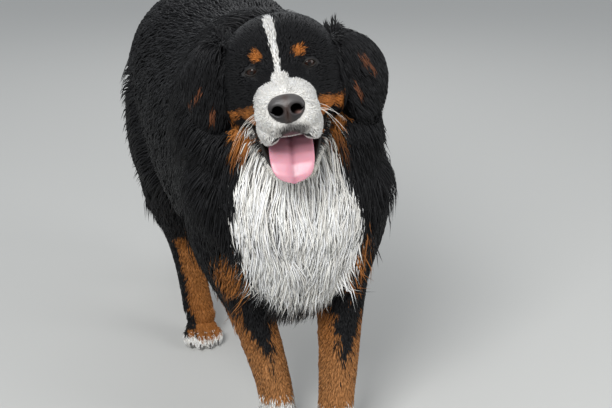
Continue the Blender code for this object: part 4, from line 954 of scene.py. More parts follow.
def coat_rules(points, normals):
    """For each point of the skin: the strands' length, how high the coat stands off the skin, their
    direction, how freely they hang, the spacing and half width, and the part."""
    p = points - SHIFT
    index = nearest_sample(p)
    sample = SAMPLES[index]
    part, coat, way = sample[:, 8].astype(int), sample[:, 4].copy(), sample[:, 5:8]
    h = moved(p, TO_HEAD)
    n = normals
    front, rear = np.maximum(0, -n[:, 1]), np.maximum(0, n[:, 1])
    below, above = np.maximum(0, -n[:, 2]), np.maximum(0, n[:, 2])
    count = len(p)
    ones = np.ones(count)

    fall = 0.25 + 0.45 * np.abs(n[:, 0]) + 1.3 * front + 1.2 * rear
    hip = smooth(-0.05, 0.20, p[:, 1]) * smooth(-0.3, 0.3, n[:, 2])
    torso_lie = np.stack([0.08 * n[:, 0], 0.9 - 1.1 * front - 0.5 * rear, -fall], 1)
    torso_depth = 0.85 + 0.35 * below + 0.4 * front + 0.6 * rear - 0.35 * above * (1 - hip) + 0.30 * hip
    torso_depth = coat * torso_depth
    torso_long = 0.050 + 0.9 * coat * (1 + below + 0.8 * front + 1.2 * rear) - 0.020 * above
    torso_long = torso_long * (1 - 0.52 * smooth(0.40, 0.30, p[:, 2]) * smooth(0.0, -0.15, p[:, 1]))
    neck_lie = np.stack([0.05 * n[:, 0], 0.50 - 0.65 * front, -0.90 - 0.35 * front], 1)
    cheek = smooth(0.040, -0.030, h[:, 1]) * smooth(-0.20, -0.14, h[:, 2])
    neck_depth = np.maximum(coat, 0.040) * (1 - 0.25 * above) * (1 - 0.55 * cheek)
    shaggy = rear * np.clip((p[:, 2] - 0.10) / 0.15, 0, 1)
    leg_lie = np.stack([0.1 * n[:, 0], 0.10 + 0.30 * rear, -0.95 * ones], 1)
    toe = smooth(0.070, 0.040, p[:, 2])
    foot = np.stack([0.1 * n[:, 0], -0.8 * ones, -0.45 * ones], 1)
    leg_lie = leg_lie * (1 - toe[:, None]) + foot * toe[:, None]
    fore_long = 0.015 + 0.050 * shaggy + 1.3 * np.maximum(coat - 0.010, 0)
    hind_long = 0.015 + 0.070 * shaggy * smooth(0.2, 0.35, p[:, 2]) + 1.6 * np.maximum(coat - 0.010, 0)

    side = np.sign(h[:, 0])
    ruff = smooth(0.052, 0.078, np.abs(h[:, 0])) * smooth(-0.005, -0.035, h[:, 2])
    ruff = ruff * smooth(-0.045, 0.020, h[:, 1])
    throat = smooth(-0.080, -0.100, h[:, 2]) * smooth(-0.090, -0.050, h[:, 1])
    muzzle = smooth(0.075, 0.105, -h[:, 1])
    skull_lie = np.stack([side * 0.22, 0.95 * ones, -0.12 * ones], 1)
    bridge = smooth(-0.02, 0.01, h[:, 2])
    skull_lie[:, 2] -= 0.45 * muzzle * (1 - bridge)
    rotation = HEAD[:3, :3].T
    falling = np.stack([0.16 * n[:, 0], 0.10 * ones, -1.0 * ones], 1)
    fall_share = np.clip(0.85 * ruff + throat, 0, 0.95)[:, None]
    skull_lie = unit(skull_lie @ rotation) * (1 - fall_share) + falling * fall_share
    crown = smooth(-0.045, 0.010, h[:, 1]) * smooth(0.015, 0.050, h[:, 2])
    skull_long = 0.0125 - 0.0065 * muzzle + 0.018 * ruff + 0.055 * throat + 0.012 * crown
    skull_depth = 0.0048 - 0.0018 * muzzle + 0.010 * ruff + 0.020 * throat + 0.003 * crown
    spot = np.max([ball_field(h, place, BROW_RADII) for place in BROW_PLACES], axis=0)
    skull_long = skull_long * (1 - 0.35 * smooth(-0.012, -0.004, spot))
    jaw_lie = np.stack([side * 0.05, 0.60 * ones, -0.90 * ones], 1) @ rotation
    back = smooth(-0.10, -0.03, h[:, 1])
    jaw_long = 0.010 + 0.014 * back
    ear_out = n @ HEAD[:3, 0] * side
    ear_lie = np.stack([side * 0.34, 0.16 * ones, -0.90 * ones], 1) @ rotation
    rim = 1 - smooth(0.0, 0.5, np.abs(ear_out))
    ear_long = np.where(ear_out > -0.1, 0.034 + 0.016 * rim, 0.018) + 0.006 * smooth(0.0, -0.05, h[:, 2])

    cases = [part == k for k in range(len(PARTS))]

    def pick(*values):
        """Each point's value, from one value for each part in the order of the parts."""
        return np.select(cases, [v * ones for v in values])

    neck_long, tail_long = 0.088 - 0.040 * cheek, 0.045 + 1.1 * coat
    length = pick(torso_long, neck_long, tail_long, fore_long, hind_long, skull_long, jaw_long, ear_long)
    fore_depth = 0.0045 + 0.6 * np.maximum(coat - 0.009, 0) + 0.012 * shaggy
    hind_depth = 0.0045 + 0.7 * np.maximum(coat - 0.009, 0) + 0.016 * shaggy
    depth = pick(torso_depth, neck_depth, coat * 0.8, fore_depth, hind_depth, skull_depth, 0.005, 0.008)
    torso_hang = 0.06 + 0.45 * below + 0.15 * rear + 0.30 * front
    neck_hang, skull_hang = 0.05 + 0.15 * front, 0.04 + 0.25 * throat
    fore_hang, hind_hang = 0.10 + 0.45 * shaggy, 0.10 + 0.40 * shaggy
    hang = pick(torso_hang, neck_hang, 0.50, fore_hang, hind_hang, skull_hang, 0.06, 0.15)
    tail_lie = way + 0.25 * n
    lies = [torso_lie, neck_lie, tail_lie, leg_lie, leg_lie, skull_lie, jaw_lie, ear_lie]
    lie = unit(np.select([case[:, None] for case in cases], lies))
    leg = np.isin(part, (FORELEG_PART, HINDLEG_PART))
    length = length * np.where(leg, 1 - 0.35 * toe, 1)
    depth = depth * np.where(leg, 1 - 0.4 * toe, 1)
    spacing = np.interp(length, STRAND_LENGTHS, STRAND_SPACINGS)
    half = np.interp(length, STRAND_LENGTHS, STRAND_HALVES)
    frontal = (part == TORSO_PART) * smooth(-0.13, -0.20, p[:, 1])
    looser = pick(1.22 - 0.56 * frontal, 0.64, 1.1, 1.54, 1.62, 1.0, 1.0, 0.95)
    spacing = spacing * looser * (1 - 0.16 * hip * (part == TORSO_PART))
    half = half * pick(1.2 - 0.50 * frontal, 0.70, 1.1, 1.20, 1.20, 1.0, 1.0, 0.85)
    half = half * (1 + 0.18 * hip * (part == TORSO_PART))
    lower, upper = lip_distance(h)
    bare = np.isin(part, (SKULL_PART, JAW_PART)) & (
        (mouth_field(h) > -0.0005) | (lower < 0.0058) | (upper < 0.0024)
    )
    for eye in (-1, 1):
        local = eye_frame(h, eye)
        bare |= (np.linalg.norm(local, axis=1) < 0.021) & (lid_opening(local) > -0.0040)
        length = length * (1 - 0.45 * smooth(0.030, 0.018, np.linalg.norm(local, axis=1)))
    nose = ball_field(h, NOSE_PLACE, (0.0262, 0.030, 0.0200))
    bare |= (nose > 0) & (h[:, 1] < -0.14)
    bare |= p[:, 2] < 0.0025
    return dict(
        length=length, depth=depth, lie=lie, hang=hang, spacing=spacing, half=half, part=part, bare=bare,
        tile=sample[:, 10], share=sample[:, 9], axis=sample[:, 5:8], centre=sample[:, :3],
    )


def skin_arrays(made):
    """The object's vertices, their normals, and the corners of its triangles."""
    made.data.calc_loop_triangles()
    corners = np.empty(len(made.data.loop_triangles) * 3, np.int32)
    made.data.loop_triangles.foreach_get("vertices", corners)
    return points_of(made.data), normals_of(made.data), corners.reshape(-1, 3)


def spread(points, triangles, rules, candidates, rng):
    """Roots spread evenly over the skin: random points of it, and of those that fall in one cell,
    as wide as the spacing asked for there, only the first is kept."""
    a, b, c = points[triangles[:, 0]], points[triangles[:, 1]], points[triangles[:, 2]]
    area = np.linalg.norm(np.cross(b - a, c - a), axis=1)
    area = area / rules["spacing"][triangles[:, 0]] ** 2
    area[rules["bare"][triangles].any(axis=1)] = 0
    steps = np.cumsum(area)
    picks = np.searchsorted(steps, rng.random(candidates) * steps[-1])
    u, v = rng.random((2, candidates))
    flip = u + v > 1
    u[flip], v[flip] = 1 - u[flip], 1 - v[flip]
    weights = np.stack([1 - u - v, u, v], 1)
    corners = triangles[picks]
    roots = (points[corners] * weights[:, :, None]).sum(axis=1)
    spacing = (rules["spacing"][corners] * weights).sum(axis=1)
    step = 2.0 ** (np.round(np.log2(spacing) * 4) / 4)
    cell = np.floor(roots / step[:, None]).astype(np.int64) + 4096
    size_key = np.round(np.log2(step) * 4).astype(int) % 16
    key = ((cell[:, 0] * 8192 + cell[:, 1]) * 8192 + cell[:, 2]) * 16 + size_key
    kept = np.unique(key, return_index=True)[1]
    return roots[kept], corners[kept], weights[kept]


def nearest_on(tree, points):
    """The nearest place on the skin to each point, and the skin's normal there."""
    found = [tree.find_nearest(point) for point in points.tolist()]
    return np.array([f[0] for f in found]), np.array([f[1] for f in found])


def comb(tree, roots, normals, lie, length, depth, hang, steps):
    """Paths of the strands from root to tip. Each step follows the skin in the strand's direction,
    raised by the coat's depth there, mixed by how freely it hangs with a straight way down."""
    heights = np.interp(np.linspace(0, 1, steps + 1), [0, 0.3, 0.6, 1], [-0.1, 0.62, 0.95, 0.92])
    at, normal, loose = roots, normals, roots.copy()
    path, ups = [roots - normal * 0.0015], [normal]
    down = np.array([0, 0, -1.0])
    for k in range(1, steps + 1):
        step = (length / steps)[:, None]
        flat = unit(lie - normal * dot(lie, normal))
        sag = (hang * k / steps)[:, None]
        loose = loose + unit(lie * (1 - sag) + down * sag) * step
        at, normal = nearest_on(tree, at + flat * step)
        rise = normal * (heights[k] * depth)[:, None]
        path.append((at + rise) * (1 - hang[:, None]) + (loose + rise) * hang[:, None])
        ups.append(normal)
    return np.stack(path, 1), np.stack(ups, 1)


def comb_short(roots, normals, lie, length, depth, steps):
    """Paths of short strands: out along the skin, while they rise to the coat's depth."""
    t = np.linspace(0, 1, steps + 1)[None, :, None]
    flat = unit(lie - normals * dot(lie, normals))
    rise = np.sin(np.minimum(t * 1.25, 1) * np.pi / 2) * depth[:, None, None] - 0.0008
    path = roots[:, None] + flat[:, None] * t * length[:, None, None] + normals[:, None] * rise
    return path, np.repeat(normals[:, None], steps + 1, axis=1)


def gather(path, ups, roots, cell, pull, wave, length, rng):
    """Draws the strands of a cell together towards their tips, and gives each cell's strands a wave
    and a lean of their own."""
    keys = np.floor(roots / cell[:, None]).astype(np.int64) + 2048
    key = (keys[:, 0] * 4096 + keys[:, 1]) * 4096 + keys[:, 2]
    group = np.unique(key, return_inverse=True)[1].ravel()
    count = np.bincount(group)
    middle = np.stack([np.bincount(group, roots[:, k]) / count for k in range(3)], 1)[group]
    steps = path.shape[1]
    t = np.linspace(0, 1, steps)
    along = unit(path[:, -1] - path[:, 0])
    inwards = middle - roots
    inwards = inwards - along * dot(inwards, along)
    across = unit(np.cross(along, ups[:, 0]))
    phase = rng.random(len(count))[group] * 2 * np.pi
    lean = rng.normal(0, 1, len(count))[group]
    sway = np.sin(phase[:, None] + t[None, :] * 5.0) - np.sin(phase)[:, None]
    offset = (wave * length)[:, None] * (sway + lean[:, None] * t[None, :] ** 1.5 * 1.6)
    single = rng.normal(0, 0.035, (len(roots), 1)) * length[:, None] * t[None, :] ** 1.5
    moved_in = inwards[:, None] * (pull * t[None, :] ** 1.3)[:, :, None]
    return path + moved_in + across[:, None] * (offset + single)[:, :, None]


# How wide a strand's patch is on the bake's unwrap
BAKE_PATCH = 0.003


def strands(name, path, ups, half, colour, unwrap, rng):
    """The strands as one mesh: along each path flat rings of three points, whose width swells from
    the root and tapers off to a point, with the bake's unwrap, a map across and along each
    strand, and its colour."""
    count, places = path.shape[:2]
    rings = places - 1
    along = unit(np.gradient(path, axis=1))[:, :rings]
    across = unit(np.cross(along, ups[:, :rings]))
    out = np.cross(across, along)
    turn = rng.normal(0, 0.45, (count, 1, 1))
    across, out = across * np.cos(turn) + out * np.sin(turn), out * np.cos(turn) - across * np.sin(turn)
    t = np.linspace(0, 1, places)[:rings]
    width = half[:, None, None] * np.interp(t, [0, 0.35, 0.7, 1], [0.7, 1.0, 0.8, 0.4])[None, :, None]
    body = path[:, :rings]
    ring = np.stack([body - across * width, body + across * width, body + out * width * 0.6], axis=2)
    points = np.concatenate([ring.reshape(count, -1, 3), path[:, rings:]], axis=1)
    last = 3 * (rings - 1)
    faces = [(0, 2, 1)] + [(last + k, last + (k + 1) % 3, 3 * rings) for k in range(3)]
    for ring_start in range(0, last, 3):
        for k in range(3):
            a, b = ring_start + k, ring_start + (k + 1) % 3
            faces += [(a, b, b + 3), (a, b + 3, a + 3)]
    faces = np.array(faces)
    per = points.shape[1]
    corners = faces[None] + (np.arange(count) * per)[:, None, None]
    made = mesh_object(name, points.reshape(-1, 3), corners.reshape(-1, 3))
    made.data.shade_smooth()

    sideways = np.append(np.tile([0.0, 1.0, 0.5], rings), 0.5)
    lengthways = np.append(np.repeat(t, 3), 1.0)
    strand_map = np.stack([sideways, lengthways], 1)[faces.ravel()]
    patch = (strand_map - 0.5) * BAKE_PATCH
    bake = made.data.uv_layers.new(name="OFBake")
    bake.data.foreach_set("uv", (unwrap[:, None] + patch[None]).astype(np.float32).ravel())
    streak = made.data.uv_layers.new(name="Strand")
    own = strand_map[None] + rng.random((count, 1, 2)) * np.array([7.0, 0.0])
    streak.data.foreach_set("uv", own.astype(np.float32).ravel())

    # Painted shade and light along each strand: darker at the root, deep in the coat, and a little lighter at
    # the tip
    root_shade_tip_light = np.interp(lengthways, [0, 0.5, 1], [0.75, 1.0, 1.08])[None, :, None]
    tone = np.exp(rng.normal(0, 0.09, (count, 1, 1)))
    rgb = np.clip(colour[:, None] * root_shade_tip_light * tone, 0, 0.92)
    rgba = np.concatenate([rgb, np.ones((count, per, 1))], axis=2)
    layer = made.data.color_attributes.new("Coat", "FLOAT_COLOR", "POINT")
    layer.data.foreach_set("color", rgba.astype(np.float32).ravel())
    return made


def unwrap_of(roots, fields):
    """Each root's place on an unwrap of the skin: every part has a tile of its own, with the angle
    round the part across it and the place along the part up it."""
    p = roots - SHIFT
    off = p - fields["centre"]
    axis = unit(fields["axis"])
    across = unit(np.cross(axis, np.array([0.13, 0.21, 0.97])))
    up = np.cross(axis, across)
    angle = np.arctan2((off * up).sum(axis=1), (off * across).sum(axis=1)) / (2 * np.pi) + 0.5
    along = np.clip(fields["share"] + (off * axis).sum(axis=1) * 0.6, 0, 1)
    tile = fields["tile"].astype(int)
    column, row = tile % 4, tile // 4
    return np.stack([0.01 + column * 0.245 + angle * 0.22, 0.01 + row * 0.325 + along * 0.30], 1)


# Strands longer than LONG_FROM are combed over the skin, in LONG_STEPS stretches, or in FINE_STEPS
# where they show most. Shorter ones rise straight from it in SHORT_STEPS.
LONG_FROM = 0.024
FINE_STEPS, LONG_STEPS, SHORT_STEPS = 4, 3, 2
FINE_PLACES = ("neck", "chest", "ears", "head")
FEWEST_STRANDS = 50
# Where the chest ends and the flanks start, and how far the coat stays off the floor
CHEST_BACK = -0.16
FLOOR_GAP = 0.0008
# Random points tried as roots
ROOT_CANDIDATES = 1_200_000


def grow_coat(skin):
    """All the strands of the coat, as one piece for each part of the body."""
    rng = np.random.default_rng(SEED)
    points, normals, triangles = skin_arrays(skin)
    rules = coat_rules(points, normals)
    tree = BVHTree.FromPolygons(points.tolist(), triangles.tolist())
    roots, corners, weights = spread(points, triangles, rules, ROOT_CANDIDATES, rng)

    def at_roots(name):
        """A rule's value at each root, weighted from the corners of its triangle."""
        values = rules[name][corners]
        if values.ndim == 3:
            return (values * weights[:, :, None]).sum(axis=1)
        return (values * weights).sum(axis=1)

    fields = {name: at_roots(name) for name in ("length", "depth", "lie", "hang", "half")}
    for name in ("part", "tile", "share", "axis", "centre"):
        fields[name] = rules[name][corners[:, 0]]
    fields["normal"] = unit((normals[corners] * weights[:, :, None]).sum(axis=1))
    fields["length"] = fields["length"] * rng.uniform(0.75, 1.2, len(roots))
    fields["lie"] = unit(fields["lie"] + rng.normal(0, 0.07, (len(roots), 3)))
    ragged = rng.normal(0, 1, len(roots))
    unwrap = unwrap_of(roots, fields)

    part, y = fields["part"], (roots - SHIFT)[:, 1]
    left = roots[:, 0] > SHIFT[0]
    head_x = moved(roots - SHIFT, TO_HEAD)[:, 0]
    groups = {
        "coat_head_left": np.isin(part, (SKULL_PART, JAW_PART)) & (head_x >= 0),
        "coat_head_right": np.isin(part, (SKULL_PART, JAW_PART)) & (head_x < 0),
        "coat_ears": part == EAR_PART,
        "coat_neck": part == NECK_PART,
        "coat_chest_left": (part == TORSO_PART) & (y < CHEST_BACK) & left,
        "coat_chest_right": (part == TORSO_PART) & (y < CHEST_BACK) & ~left,
        "coat_flank_left": (part == TORSO_PART) & (y >= CHEST_BACK) & left,
        "coat_flank_right": (part == TORSO_PART) & (y >= CHEST_BACK) & ~left,
        "coat_forelegs": part == FORELEG_PART,
        "coat_hindlegs": part == HINDLEG_PART,
        "coat_tail": part == TAIL_PART,
    }
    pieces = []
    for name, group in groups.items():
        long = group & (fields["length"] > LONG_FROM)
        long_steps = FINE_STEPS if name.split("_")[1] in FINE_PLACES else LONG_STEPS
        for kind, chosen, steps in (("long", long, long_steps), ("short", group & ~long, SHORT_STEPS)):
            if chosen.sum() < FEWEST_STRANDS:
                continue
            f = {key: value[chosen] for key, value in fields.items()}
            if kind == "long":
                path, ups = comb(
                    tree, roots[chosen], f["normal"], f["lie"], f["length"], f["depth"], f["hang"], steps
                )
                cell = np.clip(f["length"] * 0.28, 0.008, 0.024)
                cell = 2.0 ** (np.round(np.log2(cell) * 2) / 2)
                path = gather(path, ups, roots[chosen], cell, 0.42, 0.035, f["length"], rng)
            else:
                path, ups = comb_short(roots[chosen], f["normal"], f["lie"], f["length"], f["depth"], steps)
                cell = np.full(len(path), 0.006)
                path = gather(path, ups, roots[chosen], cell, 0.35, 0.03, f["length"], rng)
            path[:, :, 2] = np.maximum(path[:, :, 2], FLOOR_GAP)
            seen_at = path[:, steps - 1]
            colour = coat_colour(seen_at, f["part"], f["normal"], ragged[chosen])
            pieces.append(strands(f"{name}_{kind}", path, ups, f["half"], colour, unwrap[chosen], rng))
    return pieces


def add_node(tree, kind, inputs=None, links=None, **settings):
    """A shader node with its settings, the numbers of its inputs, and the sockets linked to it."""
    made = tree.nodes.new(kind)
    for name, value in settings.items():
        setattr(made, name, value)
    for name, value in (inputs or {}).items():
        made.inputs[name].default_value = value
    for name, socket in (links or {}).items():
        tree.links.new(socket, made.inputs[name])
    return made


def material(name):
    """A new material and its empty tree of nodes."""
    made = bpy.data.materials.new(name)
    made.use_nodes = True
    made.node_tree.nodes.clear()
    return made, made.node_tree


def finish_material(tree, shader, output="BSDF"):
    """Links the shader to the material's output."""
    add_node(tree, "ShaderNodeOutputMaterial", links={"Surface": shader.outputs[output]})


# The share of light that passes through a hair
HAIR_CLEARNESS = 0.15
# How many grains of the skin, pebbles of the nose leather and papillae of the tongue are in a metre
SKIN_GRAINS = 700.0
NOSE_PEBBLES = 900.0
PAPILLAE = 900.0


def hair_material():
    """Guard hair: smooth horny strands whose gloss runs in fine streaks along them, with a little
    light passing through, each in its own tone of black, tan or white."""
    made, tree = material("guard hair")
    coat = add_node(tree, "ShaderNodeAttribute", attribute_name="Coat")
    strand = add_node(tree, "ShaderNodeUVMap", uv_map="Strand")
    stretch = add_node(
        tree, "ShaderNodeMapping", {"Scale": (9.0, 0.8, 1.0)}, {"Vector": strand.outputs["UV"]}
    )
    noise = add_node(
        tree, "ShaderNodeTexNoise", {"Scale": 1.6, "Detail": 3.0}, {"Vector": stretch.outputs["Vector"]}
    )
    bump = add_node(
        tree, "ShaderNodeBump", {"Strength": 0.35, "Distance": 0.0004}, {"Height": noise.outputs["Fac"]}
    )
    tone = add_node(
        tree, "ShaderNodeMapRange", {"To Min": 0.78, "To Max": 1.2}, {"Value": noise.outputs["Fac"]}
    )
    scaled = add_node(
        tree,
        "ShaderNodeVectorMath",
        None,
        {0: coat.outputs["Color"], 1: tone.outputs["Result"]},
        operation="MULTIPLY",
    )
    shader = add_node(
        tree,
        "ShaderNodeBsdfPrincipled",
        {"Roughness": 0.50, "Specular IOR Level": 0.26},
        {"Base Color": scaled.outputs["Vector"], "Normal": bump.outputs["Normal"]},
    )
    through_hair = add_node(tree, "ShaderNodeBsdfTranslucent", None, {"Color": scaled.outputs["Vector"]})
    hair = add_node(
        tree,
        "ShaderNodeMixShader",
        {0: HAIR_CLEARNESS},
        {1: shader.outputs["BSDF"], 2: through_hair.outputs["BSDF"]},
    )
    finish_material(tree, hair, "Shader")
    return made


def skin_material():
    """Skin under dense underfur, which is dull and takes the coat's tone, and the bare skin of lips
    and mouth, which saliva keeps dark and shiny."""
    made, tree = material("skin and underfur")
    coat = add_node(tree, "ShaderNodeAttribute", attribute_name="Coat")
    place = add_node(tree, "ShaderNodeTexCoord")
    noise = add_node(
        tree, "ShaderNodeTexNoise", {"Scale": SKIN_GRAINS, "Detail": 3.0}, {"Vector": place.outputs["Object"]}
    )
    bump = add_node(
        tree, "ShaderNodeBump", {"Strength": 0.5, "Distance": 0.0006}, {"Height": noise.outputs["Fac"]}
    )
    rough = add_node(
        tree,
        "ShaderNodeMapRange",
        {"From Min": 0.0, "From Max": 1.0, "To Min": 0.75, "To Max": 0.28},
        {"Value": coat.outputs["Alpha"]},
    )
    shader = add_node(
        tree,
        "ShaderNodeBsdfPrincipled",
        {"Specular IOR Level": 0.4},
        {
            "Base Color": coat.outputs["Color"],
            "Roughness": rough.outputs["Result"],
            "Normal": bump.outputs["Normal"],
        },
    )
    finish_material(tree, shader)
    return made


def leather_material():
    """Nose leather: damp dark skin whose pebbles, about a millimetre across, break up its shine."""
    made, tree = material("damp nose leather")
    place = add_node(tree, "ShaderNodeTexCoord")
    coat = add_node(tree, "ShaderNodeAttribute", attribute_name="Coat")
    cells = add_node(
        tree,
        "ShaderNodeTexVoronoi",
        {"Scale": NOSE_PEBBLES, "Randomness": 1.0},
        {"Vector": place.outputs["Object"]},
    )
    bump = add_node(
        tree,
        "ShaderNodeBump",
        {"Strength": 0.45, "Distance": 0.0005},
        {"Height": cells.outputs["Distance"]},
        invert=True,
    )
    shader = add_node(
        tree,
        "ShaderNodeBsdfPrincipled",
        {"Roughness": 0.36},
        {
            "Base Color": coat.outputs["Color"],
            "Normal": bump.outputs["Normal"],
            "Specular IOR Level": coat.outputs["Alpha"],
        },
    )
    finish_material(tree, shader)
    return made


def tongue_material():
    """Tongue: soft pink flesh that light sinks into, wet, with papillae that blur its shine."""
    made, tree = material("wet tongue")
    place = add_node(tree, "ShaderNodeTexCoord")
    coat = add_node(tree, "ShaderNodeAttribute", attribute_name="Coat")
    noise = add_node(
        tree, "ShaderNodeTexNoise", {"Scale": PAPILLAE, "Detail": 2.0}, {"Vector": place.outputs["Object"]}
    )
    bump = add_node(
        tree, "ShaderNodeBump", {"Strength": 0.35, "Distance": 0.0005}, {"Height": noise.outputs["Fac"]}
    )
    shader = add_node(
        tree,
        "ShaderNodeBsdfPrincipled",
        {"Roughness": 0.34, "Subsurface Weight": 0.25, "Subsurface Scale": 0.004},
        {"Base Color": coat.outputs["Color"], "Normal": bump.outputs["Normal"]},
    )
    finish_material(tree, shader)
    return made


def plain_material(name, colour, roughness, **inputs):
    """A smooth finish of one colour."""
    made, tree = material(name)
    values = {"Base Color": (*colour, 1), "Roughness": roughness, **inputs}
    finish_material(tree, add_node(tree, "ShaderNodeBsdfPrincipled", values))
    return made


def eye_material():
    """The eyeball: a dark iris behind a clear wet cornea, which gives the sharp glint."""
    made, tree = material("wet eye")
    coat = add_node(tree, "ShaderNodeAttribute", attribute_name="Coat")
    values = {"Roughness": 0.25, "Specular IOR Level": 0.15, "Coat Weight": 0.30, "Coat Roughness": 0.02}
    shader = add_node(tree, "ShaderNodeBsdfPrincipled", values, {"Base Color": coat.outputs["Color"]})
    finish_material(tree, shader)
    return made


def give_colour(made, colour):
    """Sets the object's colour attribute, one colour per point, with how shiny it is as a fourth
    number if that is given."""
    layer = made.data.color_attributes.new("Coat", "FLOAT_COLOR", "POINT")
    rgba = colour if colour.shape[1] == 4 else np.column_stack([colour, np.ones(len(colour))])
    layer.data.foreach_set("color", rgba.astype(np.float32).ravel())


def place_piece(name, form, finish, colour=None, in_head=True):
    """A smooth piece of the model, from a form in the head's frame or in the dog's."""
    points = moved(form[0], HEAD) if in_head else form[0]
    made = mesh_object(name, points + SHIFT, *form[1:])
    made.data.shade_smooth()
    made.data.materials.append(finish)
    if colour is not None:
        give_colour(made, colour)
    return made


def build_eye(side, finish):
    """An eyeball whose colour depends on the angle from where it looks: pupil, iris, the dark ring
    round it, and the brownish white."""
    form = ellipsoid((0, 0, 0), (1, 1, 1), (math.pi / 2, 0, 0), 48, 64)
    points = form[0]
    angle = np.degrees(np.arccos(np.clip(-points[:, 1], -1, 1)))
    pupil, iris = linear("040303"), linear("1F0E07")
    ring, white = linear("070404"), linear("2A1C19")
    colour = mix(pupil, iris, smooth(13, 16, angle))
    colour = mix(colour, ring, smooth(38, 46, angle))
    colour = mix(colour, white, smooth(52, 60, angle))
    bulge = 1 + 0.035 * np.exp(-((angle / 34) ** 2))
    local = points * bulge[:, None] * (EYE_RADIUS - 0.0004)
    points = local @ np.array(gaze_matrix(side)).T + mirrored(EYE_PLACE, side)
    name = "eye_ball_left" if side > 0 else "eye_ball_right"
    return place_piece(name, (points, *form[1:]), finish, colour)


def build_nose(finish):
    """The nose leather: a rounded block that is wider above, with a comma-shaped nostril sunk in
    each side and the groove between them."""
    rings, sides = 110, 150
    form = ellipsoid((0, 0, 0), (1, 1, 1), (math.pi / 2, 0, 0), rings, sides)
    p = form[0]
    boxed = np.sign(p) * np.abs(p) ** np.array([0.86, 0.80, 0.86])
    half = np.array([NOSE_WIDTH / 2, 0.0165, 0.0205])
    points = boxed * half
    width = 1 - 0.24 * smooth(0.004, -0.020, points[:, 2])
    points[:, 0] *= width
    points[:, 1] += 0.10 * np.maximum(points[:, 2], 0)
    x, z = points[:, 0], points[:, 2]
    front = smooth(0.0, -0.006, points[:, 1])
    depth = np.zeros(len(points))
    for side in (-1, 1):
        sx = x * side
        hole = np.exp(-((((sx - 0.0128) / 0.0076) ** 2 + ((z - 0.0005) / 0.0066) ** 2) ** 1.5))
        curl = 0.0040 * ((sx - 0.012) / 0.008)
        slit = np.exp(-(((sx - 0.0200) / 0.0050) ** 2 + ((z + 0.0055 - curl) / 0.0019) ** 2))
        depth = np.maximum(depth, np.maximum(hole * 0.0072, slit * 0.0040))
    groove = 0.0022 * np.exp(-((x / 0.0011) ** 2)) * smooth(0.006, -0.004, z)
    points[:, 1] += front * (depth + groove)
    top = linear("4A4746")
    dark = linear("161314")
    brown = linear("33211A")
    pink = linear("8A6A62")
    # Painted sheen: the leather's top is painted lighter grey where it faces up to the light
    share = smooth(0.002, 0.016, z) * 0.75
    colour = mix(dark, top, share)
    colour = mix(colour, brown, np.exp(-((x / 0.005) ** 2)) * 0.7 * front)
    # Painted shade: the nostrils are painted nearly black where they sink deep
    colour = mix(colour, dark * 0.05, smooth(0.0010, 0.0035, depth))
    rim = np.exp(-(((x - 0.016) / 0.004) ** 2 + ((z + 0.0055) / 0.0018) ** 2)) * front
    colour = mix(colour, pink, rim * 0.45)
    colour = np.column_stack([colour, 0.5 * (1 - smooth(0.0010, 0.0030, depth))])
    return place_piece("nose_leather", (points + NOSE_PLACE, *form[1:]), finish, colour)


def build_tongue(finish):
    """The tongue: rings along the jaw with a groove down the middle, hanging over the lower lip."""
    rows = through(TONGUE, 64)
    count, sides = len(rows), 40
    centres = np.stack([np.zeros(count), -rows[:, 0], rows[:, 1]], axis=1)
    along = unit(np.gradient(centres, axis=0))
    across = np.tile([1.0, 0, 0], (count, 1))
    up = np.cross(along, across)
    up *= np.sign(up[:, 2:] + 1e-9)
    thick, half = np.maximum(rows[:, 3], 0.002), np.maximum(rows[:, 2], 0.004)
    points, *faces = tube(centres, -across, up, half, thick, thick, np.full(count, 2.2), sides)
    groove = np.exp(-((points[:, 0] / 0.0045) ** 2)) * 0.0030
    cup = 0.005 * (points[:, 0] / 0.03) ** 2
    ripples = 0.0005 * np.sin(points[:, 1] * 420 + 30 * points[:, 0])
    points[:, 2] += cup - groove * (np.abs(points[:, 0]) < 0.02) + ripples
    # Painted shade: the tongue is darker towards its back, inside the mouth, and along its middle groove
    share = smooth(0.02, 0.11, -points[:, 1])
    colour = mix(linear("5E2E38"), linear("BC8490"), share)
    colour = mix(colour, linear("8A5260"), np.exp(-((points[:, 0] / 0.004) ** 2)) * 0.6)
    return place_piece("tongue_flesh", (moved(points, OPEN_JAW), *faces), finish, colour)


def fans(name, paths, radius, finish, sides=5):
    """Thin round stalks along the paths, tapering to their tips, as one piece."""
    count, places = paths.shape[:2]
    along = unit(np.gradient(paths, axis=1))
    across = unit(np.cross(along, np.array([0.21, 0.33, 0.92])))
    up = np.cross(across, along)
    angle = np.arange(sides) * 2 * np.pi / sides
    taper = np.linspace(1, 0.18, places)[None, :, None, None] * radius[:, None, None, None]
    ring = across[:, :, None] * np.cos(angle)[None, None, :, None]
    ring = ring + up[:, :, None] * np.sin(angle)[None, None, :, None]
    rings = (paths[:, :, None] + ring * taper).reshape(count, -1, 3)
    points = np.concatenate([rings, paths[:, :1], paths[:, -1:]], axis=1)
    quads, ends = ring_faces(places, sides)
    step = (np.arange(count) * points.shape[1])[:, None, None]
    form = (points.reshape(-1, 3), (quads + step).reshape(-1, 4), (ends + step).reshape(-1, 3))
    return place_piece(name, form, finish)


WHISKERS = 12
WHISKER_RADIUS = 0.00030


